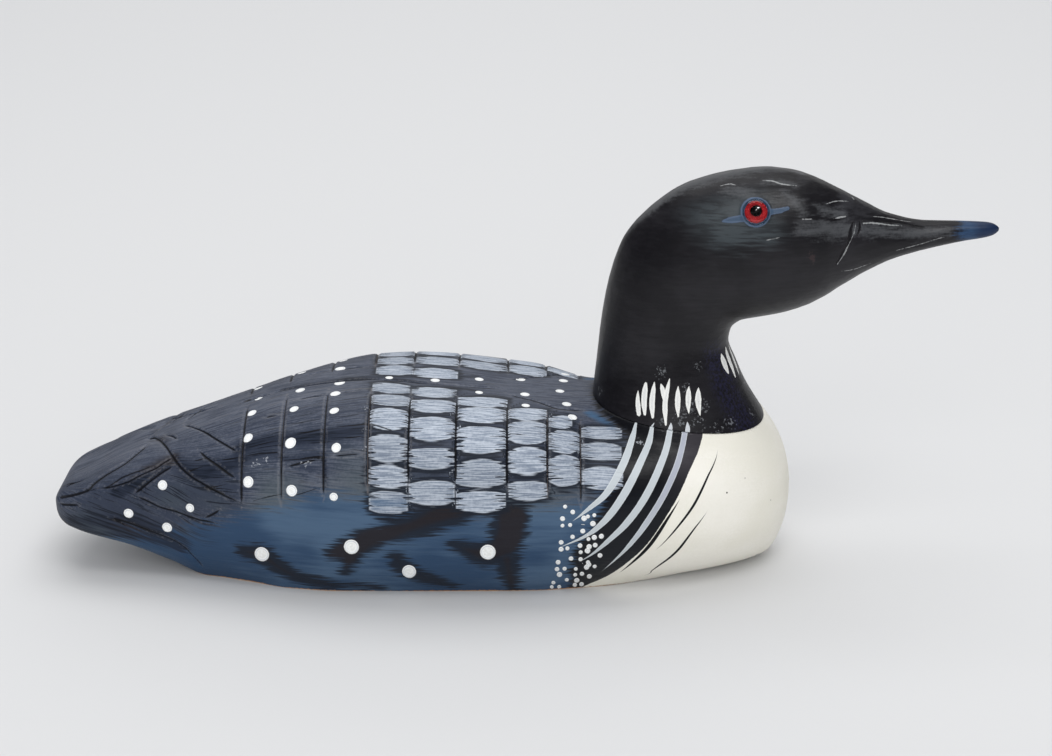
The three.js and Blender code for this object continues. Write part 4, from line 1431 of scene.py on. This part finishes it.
bodyPaint = {
    "navy": colour(26, 33, 48),
    "navySlate": colour(50, 57, 73),
    "slate": colour(82, 88, 102),
    "paleSlate": colour(103, 106, 116),
    "slateGreen": colour(76, 86, 90),
    "blue": colour(71, 94, 119),
    "deepBlue": colour(42, 66, 94),
    "tintBlue": colour(56, 96, 132),
    "black": colour(13, 13, 17),
    "gapBlack": colour(19, 26, 38),
    "brownBlack": colour(28, 21, 23),
    "squareDark": colour(126, 137, 153),
    "squareLight": colour(188, 196, 207),
    "dot": colour(232, 233, 229),
    "dotRim": colour(245, 246, 244),
    "stripeBack": colour(188, 195, 199),
    "stripeFront": colour(168, 172, 184),
    "stripeEdge": colour(214, 219, 221),
    "cream": colour(235, 232, 223),
    "creamShade": colour(227, 224, 212),
    "haze": colour(70, 66, 72),
    "rubbedAndLitEdge": colour(120, 120, 124),
    "hollowShade": colour(40, 34, 34),
    "wood": colour(190, 152, 116),
    "woodDark": colour(146, 108, 78),
    "groove": colour(104, 96, 94),
    "scuff": colour(176, 180, 186),
}


def paintBody():
    f, c, m = Finish("decoy_body_paint"), bodyPaint, bodyMarks
    bristle = f.strokes(0.07, 1.05, 2, 0.6)  # fine lines left by the brush, along the body
    band = f.strokes(0.03, 0.3, 3, 0.6)  # wider strokes
    cloud = f.noise((22, 40, 40), 2)
    grit = f.noise((900, 900, 900), 3, 0.6)
    ragged = (bristle - 0.5) * 1.6 + (band - 0.5) * 0.8

    wing, under, edge, cut = f.field("wing"), f.field("under"), f.field("edge"), f.field("cut")
    shade, seam, row = f.field("shade"), f.field("seam"), f.field("row")
    flank = f.mix(f.step(cloud + (band - 0.5) * 0.5, 0.34, 0.68), c["deepBlue"], c["blue"])
    # brush tone at random, made lighter by the light broad strokes (painted light on the tops) and darker
    # by the dark ones
    tone = (band - 0.5) * 1.5 + (bristle - 0.5) * 3.2 + (cloud - 0.5) * 0.6
    tone = tone + (grit - 0.5) * 0.9 - shade * 0.4
    slate = f.mix(f.step(tone, -0.4, 0.3), c["navySlate"], c["slate"])
    slate = f.mix(f.step(tone, 0.15, 0.8) * 0.9, slate, c["paleSlate"])
    slate = f.mix(f.step(wing, 26, 4) * f.step(cloud, 0.36, 0.64) * 0.6, slate, c["slateGreen"])
    base = f.mix(f.step(wing + ragged * 9, -4, 4), flank, slate)
    # navy from the dark broad strokes: brushwork, and painted shade in the tail's recess and beside a row
    # of feathers
    base = f.mix(f.step(shade + ragged * 1.2, 0.25, 1.1) * 0.85, base, c["navy"])
    dryStroke = f.step(bristle + (band - 0.5) * 0.5 + shade * 0.06, 0.58, 0.65) * f.step(wing, -6, 2)
    base = f.mix(dryStroke * (0.6 + shade * 0.4), base, c["gapBlack"])

    tinted = f.step(f.field("tint") + ragged * 0.4, 0.15, 0.7)
    base = f.mix(tinted * 0.8, base, c["tintBlue"])
    patches = f.field("patches")
    patch = f.step(patches + ragged * 8, -1.6, 1.8)
    dark = f.mix(f.step(patches + (cloud - 0.5) * 14, 2, 5), c["gapBlack"], c["brownBlack"])
    base = f.mix(patch * 0.94, base, dark)
    squareEnds, squareSides = f.field("squareEnds"), f.field("squareSides")
    inSquare = f.least(squareEnds, squareSides)
    base = f.mix(f.step(inSquare + ragged * 6, -3, -0.8) * 0.9, base, c["gapBlack"])
    front = f.step(f.field("black") + ragged * 8, -1.5, 1.5)
    base = f.mix(front * 0.97, base, c["black"])
    white = f.field("white")
    haze = f.step(seam, 18, 4) * f.step(white, -9, -4) * (0.3 + cloud * 0.5)
    base = f.mix(haze * front, base, c["haze"])

    laid = f.least(squareEnds + f.least((bristle - 0.47) * 30, 0.5), squareSides + (bristle - 0.5) * 2.5)
    squareMask = f.step(laid, -0.2, 0.45)
    fine = f.strokes(0.1, 2, 2)
    streak = bristle * 0.4 + fine * 0.6 + (grit - 0.5) * 0.2 - f.step(laid, 1, 0.2) * 0.1
    squareColour = f.mix(f.step(streak, 0.4, 0.6), c["squareLight"], c["squareDark"])
    squareColour = f.mix(tinted * 0.6, squareColour, c["tintBlue"])
    base = f.mix(squareMask * f.field("squareTone"), base, squareColour)

    stripes = f.most(f.inStroke("stripesA"), f.inStroke("stripesB"))
    stripeMask = f.step(stripes + (grit - 0.5) * 0.2, -0.08, 0.14)
    violet = f.step(f.inStroke("stripesA"), -0.2, 0) * f.step(white, -16, -11) * f.step(edge, 20, 60)
    stripeColour = f.mix(violet, c["stripeBack"], c["stripeFront"])
    stripeColour = f.mix(f.step(stripes, 0.5, 0.1) * 0.6, stripeColour, c["stripeEdge"])
    base = f.mix(stripeMask * 0.97, base, stripeColour)

    cream = f.mix(f.step(cloud + (grit - 0.5) * 0.3, 0.35, 0.75), c["creamShade"], c["cream"])
    for a, b, bend, low, high, half in m["hairLines"]:
        off = f.maths("ABSOLUTE", white - (edge * bend + b) * edge - a, 0)
        way = (edge - (low + high) / 2) * (2 / (high - low))
        width = (1 - way * way) * half
        cream = f.mix(f.step(width - off, -0.04, 0.12), cream, c["black"])
    for spot, mark in zip(bodySpots(m["specks"], near), m["specks"]):
        cream = f.mix(f.step(f.reach(spot), mark[2] + 0.08, mark[2] - 0.08), cream, c["brownBlack"])
    whiteMask = f.step(white + (grit - 0.5) * 0.4, -0.1, 0.1)
    base = f.mix(whiteMask, base, cream)

    dots = f.inDot("dots0")
    for k in range(1, dotSets):
        dots = f.most(dots, f.inDot(f"dots{k}"))
    dotMask = f.step(dots + (grit - 0.5) * 0.2, -0.08, 0.12)
    dotColour = f.mix(f.step(dots, 0.35, 0.6) * f.step(dots, 1, 0.7) * 0.45, c["dotRim"], c["squareLight"])
    dotColour = f.mix(f.step(dots, 0.9, 1.3) * f.step(grit, 0.35, 0.6), dotColour, c["dot"])
    base = f.mix(dotMask, base, dotColour)

    notWhite = 1 - whiteMask
    undotted = notWhite * (1 - dotMask)
    # brown-black painted shade in the recesses of the tail's carving
    hollowShade = f.step(f.field("hollowShade") + (bristle - 0.5) * 14, -1, 2.2)
    base = f.mix(hollowShade * undotted * 0.75, base, c["hollowShade"])
    base = f.mix(f.step(f.inStroke("inks") + ragged * 0.5, -0.1, 0.15) * undotted * 0.85, base, c["black"])
    # a paler edge beside each cut: paint rubbed thin, with a painted highlight along the ridge
    rubbedAndLitEdge = f.step(cut, 0.55, 0.85) * f.step(cut, 1.9, 1.1) * f.step(grit + (cloud - 0.5) * 0.8, 0.34, 0.68)
    base = f.mix(rubbedAndLitEdge * undotted * 0.34, base, c["rubbedAndLitEdge"])
    # dark in and along each cut: dark paint in it, with painted shade
    base = f.mix(f.step(cut + (cloud - 0.5) * 0.9, 0.55, 0.2) * undotted * 0.9, base, c["black"])
    bottom = f.step(row, 0.32, 0.12) * f.step(grit + (cloud - 0.5) * 0.9, 0.38, 0.55) * notWhite
    base = f.mix(bottom * 0.65, base, c["groove"])

    scuff = f.field("scuff")
    rubbed = f.step(scuff + (grit - 0.5) * 6, 0.75, 1.2) * f.step(scuff, 0, 0.2)
    base = f.mix(rubbed * notWhite * 0.6, base, c["scuff"])
    grain = f.noise((14, 260, 260), 3, 0.6)
    bareWood = f.mix(f.step(grain, 0.35, 0.7), c["wood"], c["woodDark"])
    rubbedEdge = f.step(edge + f.field("lift") + (grit - 0.5) * 1.6 + (cloud - 0.5) * 2.4, 0.5, 0.2)
    bare = f.most(under, rubbedEdge)
    base = f.mix(bare, base, bareWood)

    painted = 1 - bare
    rim = f.step(dots, 0, 0.3) - f.step(dots, 0.35, 0.9) * 0.5
    height = bristle * 0.4 + grit * 0.12 + (squareMask * 0.4 + stripeMask * 0.4 + rim * 1.3) * painted
    glossy = front * notWhite
    rough = 0.42 + grit * 0.16 + whiteMask * 0.14 + bare * 0.25 - glossy * 0.12
    return f.surface({
        "Base Color": base,
        "Roughness": rough,
        "Normal": f.bump(height, 0.00022),
        "Specular IOR Level": 0.22,
        "IOR": 1.5,
    })


headPaint = {
    "black": colour(20, 19, 23),
    "charcoal": colour(32, 31, 35),
    "litFaceGrey": colour(46, 46, 50),
    "paintedSheen": colour(84, 86, 89),
    "teal": colour(60, 67, 71),
    "paintedGlint": colour(176, 178, 178),
    "stroke": colour(226, 226, 222),
    "strokeBack": colour(196, 198, 200),
    "stripe": colour(192, 196, 200),
    "ringBlue": colour(58, 79, 103),
    "ringPale": colour(84, 100, 126),
    "tipBlue": colour(24, 42, 72),
    "tipPale": colour(40, 66, 98),
    "brown": colour(52, 40, 42),
    "pale": colour(134, 138, 142),
    "neckHighlightBlue": colour(38, 38, 66),
}


def paintHead():
    f, c = Finish("decoy_head_paint"), headPaint
    grit = f.noise((900, 900, 900), 3, 0.65)
    brush = f.noise((80, 300, 750), 3, 0.6)
    cloud = f.noise((45, 45, 45), 3, 0.55)
    cheek, along, down = f.field("cheek"), f.field("along"), f.field("down")
    seam, scuff = f.field("seam"), f.field("scuff")
    base = f.mix(f.step(cloud + (brush - 0.5) * 0.5, 0.35, 0.75), c["black"], c["charcoal"])
    # lighter colour on the face above the cheek line, where it faces up: painted light
    face = f.step(along, 0.5, 0.6) * f.step(along, 0.86, 0.74) * f.step(cheek + (brush - 0.5) * 4, -1, 3)
    base = f.mix(face * f.step(cloud + (brush - 0.5) * 0.7, 0.3, 0.65) * 0.85, base, c["litFaceGrey"])
    below = f.step(along, 0.36, 0.43) * f.step(along, 0.56, 0.49)
    below = below * f.step(cheek + (brush - 0.5) * 6, -1.5, 3)
    streaks = below * f.step(cheek, 14, 7) * (0.45 + f.step(brush + (cloud - 0.5) * 0.6, 0.42, 0.6) * 0.45)
    base = f.mix(streaks, base, c["teal"])
    # painted highlights laid over the head where its planes face the light
    paintedSheen = f.field("paintedSheen") + (brush - 0.5) * 9 + (grit - 0.5) * 5 + (cloud - 0.5) * 3
    base = f.mix(f.step(paintedSheen, -2, 3.4) * 0.6, base, c["paintedSheen"])
    # a blue painted highlight down the front of the neck
    neckFrontHighlight = f.step(down, 0.66, 0.74) * f.step(down, 0.9, 0.8) * f.step(along, 0.2, 0.1)
    base = f.mix(neckFrontHighlight * f.step(grit, 0.42, 0.6) * 0.6, base, c["neckHighlightBlue"])
    tip = f.field("tip")
    tipMask = f.step(tip + (brush - 0.5) * 14 + (grit - 0.5) * 4, -2.2, 2.2)
    tipColour = f.mix(f.step(tip + (brush - 0.5) * 20, 2, 9), c["tipPale"], c["tipBlue"])
    base = f.mix(tipMask * 0.92, base, tipColour)
    ring = f.field("ring")
    ringMask = f.step(ring + (cloud - 0.5) * 2 + (grit - 0.5) * 0.6, -0.15, 0.2)
    ringColour = f.mix(f.step(ring, 0.65, 0.2) * 0.6, c["ringBlue"], c["ringPale"])
    base = f.mix(ringMask * (0.6 + brush * 0.5), base, ringColour)
    base = f.mix(f.step(f.inStroke("tips"), -0.06, 0.1), base, c["stripe"])
    strokes = f.most(f.most(f.inStroke("strokes0"), f.inStroke("strokes1")), f.inStroke("strokes2"))
    strokeMask = f.step(strokes + (grit - 0.5) * 0.2, -0.06, 0.1)
    strokeColour = f.mix(f.step(strokes, 0.5, 0.9) * 0.5, c["stroke"], c["strokeBack"])
    base = f.mix(strokeMask, base, strokeColour)
    chipMask = f.step(f.field("chip") + (grit - 0.5) * 9, 0, 1.2)
    base = f.mix(chipMask * 0.7, base, c["brown"])
    rubbed = f.step(scuff + (grit - 0.5) * 7, 0.9, 1.5) * f.step(scuff, 0, 0.3)
    base = f.mix(rubbed * 0.45, base, c["pale"])
    # darker in the cuts at the bill's border: painted shade
    cuts = f.most(f.inStroke("cutsA"), f.inStroke("cutsB"))
    base = f.mix(f.step(cuts + (grit - 0.5) * 0.5, -0.15, 0.1) * 0.95, base, c["black"])
    # small bright painted highlights
    paintedGlints = f.step(f.inStroke("paintedGlints") + (grit - 0.5) * 0.9, -0.05, 0.2)
    base = f.mix(paintedGlints * 0.55, base, c["paintedGlint"])
    worked = f.noise((60, 170, 260), 3, 0.55)
    upper = f.step(down, 0.5, 0.3) * f.step(along, 0.36, 0.45)
    height = brush * 0.3 + grit * 0.2 + strokeMask * 0.8 + ringMask * 0.4 + worked * upper * 1.2
    height = height - f.step(cuts, -0.25, 0.15) * 1.8
    rough = 0.33 + grit * 0.14 + strokeMask * 0.1 + rubbed * 0.2
    return f.surface({
        "Base Color": base,
        "Roughness": rough,
        "Normal": f.bump(height, 0.00018),
        "Specular IOR Level": 0.27,
        "IOR": 1.5,
    })


eyePaint = {
    "red": colour(158, 40, 44),
    "redDark": colour(100, 20, 22),
    "rim": colour(60, 76, 100),
    "pupil": colour(4, 3, 4),
}


def paintIris():
    f, c = Finish("eye_enamel"), eyePaint
    reach = f.field("reach")
    up = np.array([0, 0, eyeSettings["pupilUp"]])
    pupil = f.least(f.reach(eyeFrame(near)[0] + up), f.reach(eyeFrame(far)[0] + up))
    base = f.mix(f.step(reach, 3.6, 4.3) * 0.5, c["red"], c["redDark"])
    base = f.mix(f.step(reach, 4.28, 4.42), base, c["rim"])
    base = f.mix(f.step(pupil, 2.9, 2.2) * 0.6, base, c["redDark"])
    base = f.mix(f.step(pupil, 2.22, 2.1), base, c["pupil"])
    return f.surface({"Base Color": base, "Roughness": 0.5, "Specular IOR Level": 0})


def clearGlass():
    f = Finish("eye_glass")
    return f.surface({
        "Base Color": (1, 1, 1, 1),
        "Roughness": 0.1,
        "IOR": 1.4,
        "Transmission Weight": 1,
    })


body.data.materials.append(paintBody())
head.data.materials.append(paintHead())
glassFinish, irisFinish = clearGlass(), paintIris()
for glass, iris in eyes.values():
    glass.data.materials.append(glassFinish)
    iris.data.materials.append(irisFinish)
print("materials made")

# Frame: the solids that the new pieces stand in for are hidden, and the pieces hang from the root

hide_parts("body")
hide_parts("head")
for piece in (body, head):
    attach(piece, "root")
for label, pair in eyes.items():
    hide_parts(label)
    for piece in pair:
        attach(piece, "root")

# Floor and light

studio = {
    "floorSize": 8,
    "floorColour": colour(210, 210, 210),
    "worldColour": colour(236, 238, 242),
    "worldStrength": 0.68,
    "lights": [
        # name, place, point looked at, width, height, watts, whether it lights, whether it mirrors
        ("overhead", (0, 0.45, 1.5), (0, 0, 0.05), 1.6, 1.0, 9.5, True, True),
        ("frontTop", (0.25, -0.75, 1.6), (0, 0, 0.06), 1.0, 0.6, 6.4, True, False),
        ("frontWall", (-0.1, -2.0, 0.95), (0, 0, 0.06), 2.6, 1.6, 20.5, True, False),
        ("backWall", (0.1, 1.7, 0.8), (0.05, 0, 0.08), 2.4, 0.9, 6.5, True, True),
        ("windowHigh", (0.29, -0.66, 1.17), (0.09, 0, 0.15), 0.12, 0.12, 4, False, True),
        ("windowLow", (0.06, -0.86, 1.01), (0.09, 0, 0.15), 0.07, 0.07, 1.4, False, True),
    ],
}


def makeStudio(settings):
    half = settings["floorSize"] / 2
    corners = [(-half, -half, 0), (half, -half, 0), (half, half, 0), (-half, half, 0)]
    mesh = bpy.data.meshes.new("floor")
    mesh.from_pydata(corners, [], [(0, 1, 2, 3)])
    floor = link("floor", mesh)
    f = Finish("floor_paper")
    mesh.materials.append(f.surface({"Base Color": settings["floorColour"], "Roughness": 0.9}))
    world = bpy.data.worlds.new("studio")
    bpy.context.scene.world = world
    world.use_nodes = True
    background = world.node_tree.nodes["Background"]
    background.inputs["Color"].default_value = settings["worldColour"]
    background.inputs["Strength"].default_value = settings["worldStrength"]
    world.cycles_visibility.glossy = False
    for name, place, target, width, height, watts, lights, mirrors in settings["lights"]:
        data = bpy.data.lights.new(name, "AREA")
        data.shape = "RECTANGLE"
        data.size, data.size_y, data.energy = width, height, watts
        lamp = bpy.data.objects.new(name, data)
        bpy.context.scene.collection.objects.link(lamp)
        lamp.visible_diffuse, lamp.visible_glossy = lights, mirrors
        lamp.location = place
        lamp.rotation_euler = (Vector(target) - Vector(place)).to_track_quat("-Z", "Y").to_euler()


makeStudio(studio)
print("studio made")
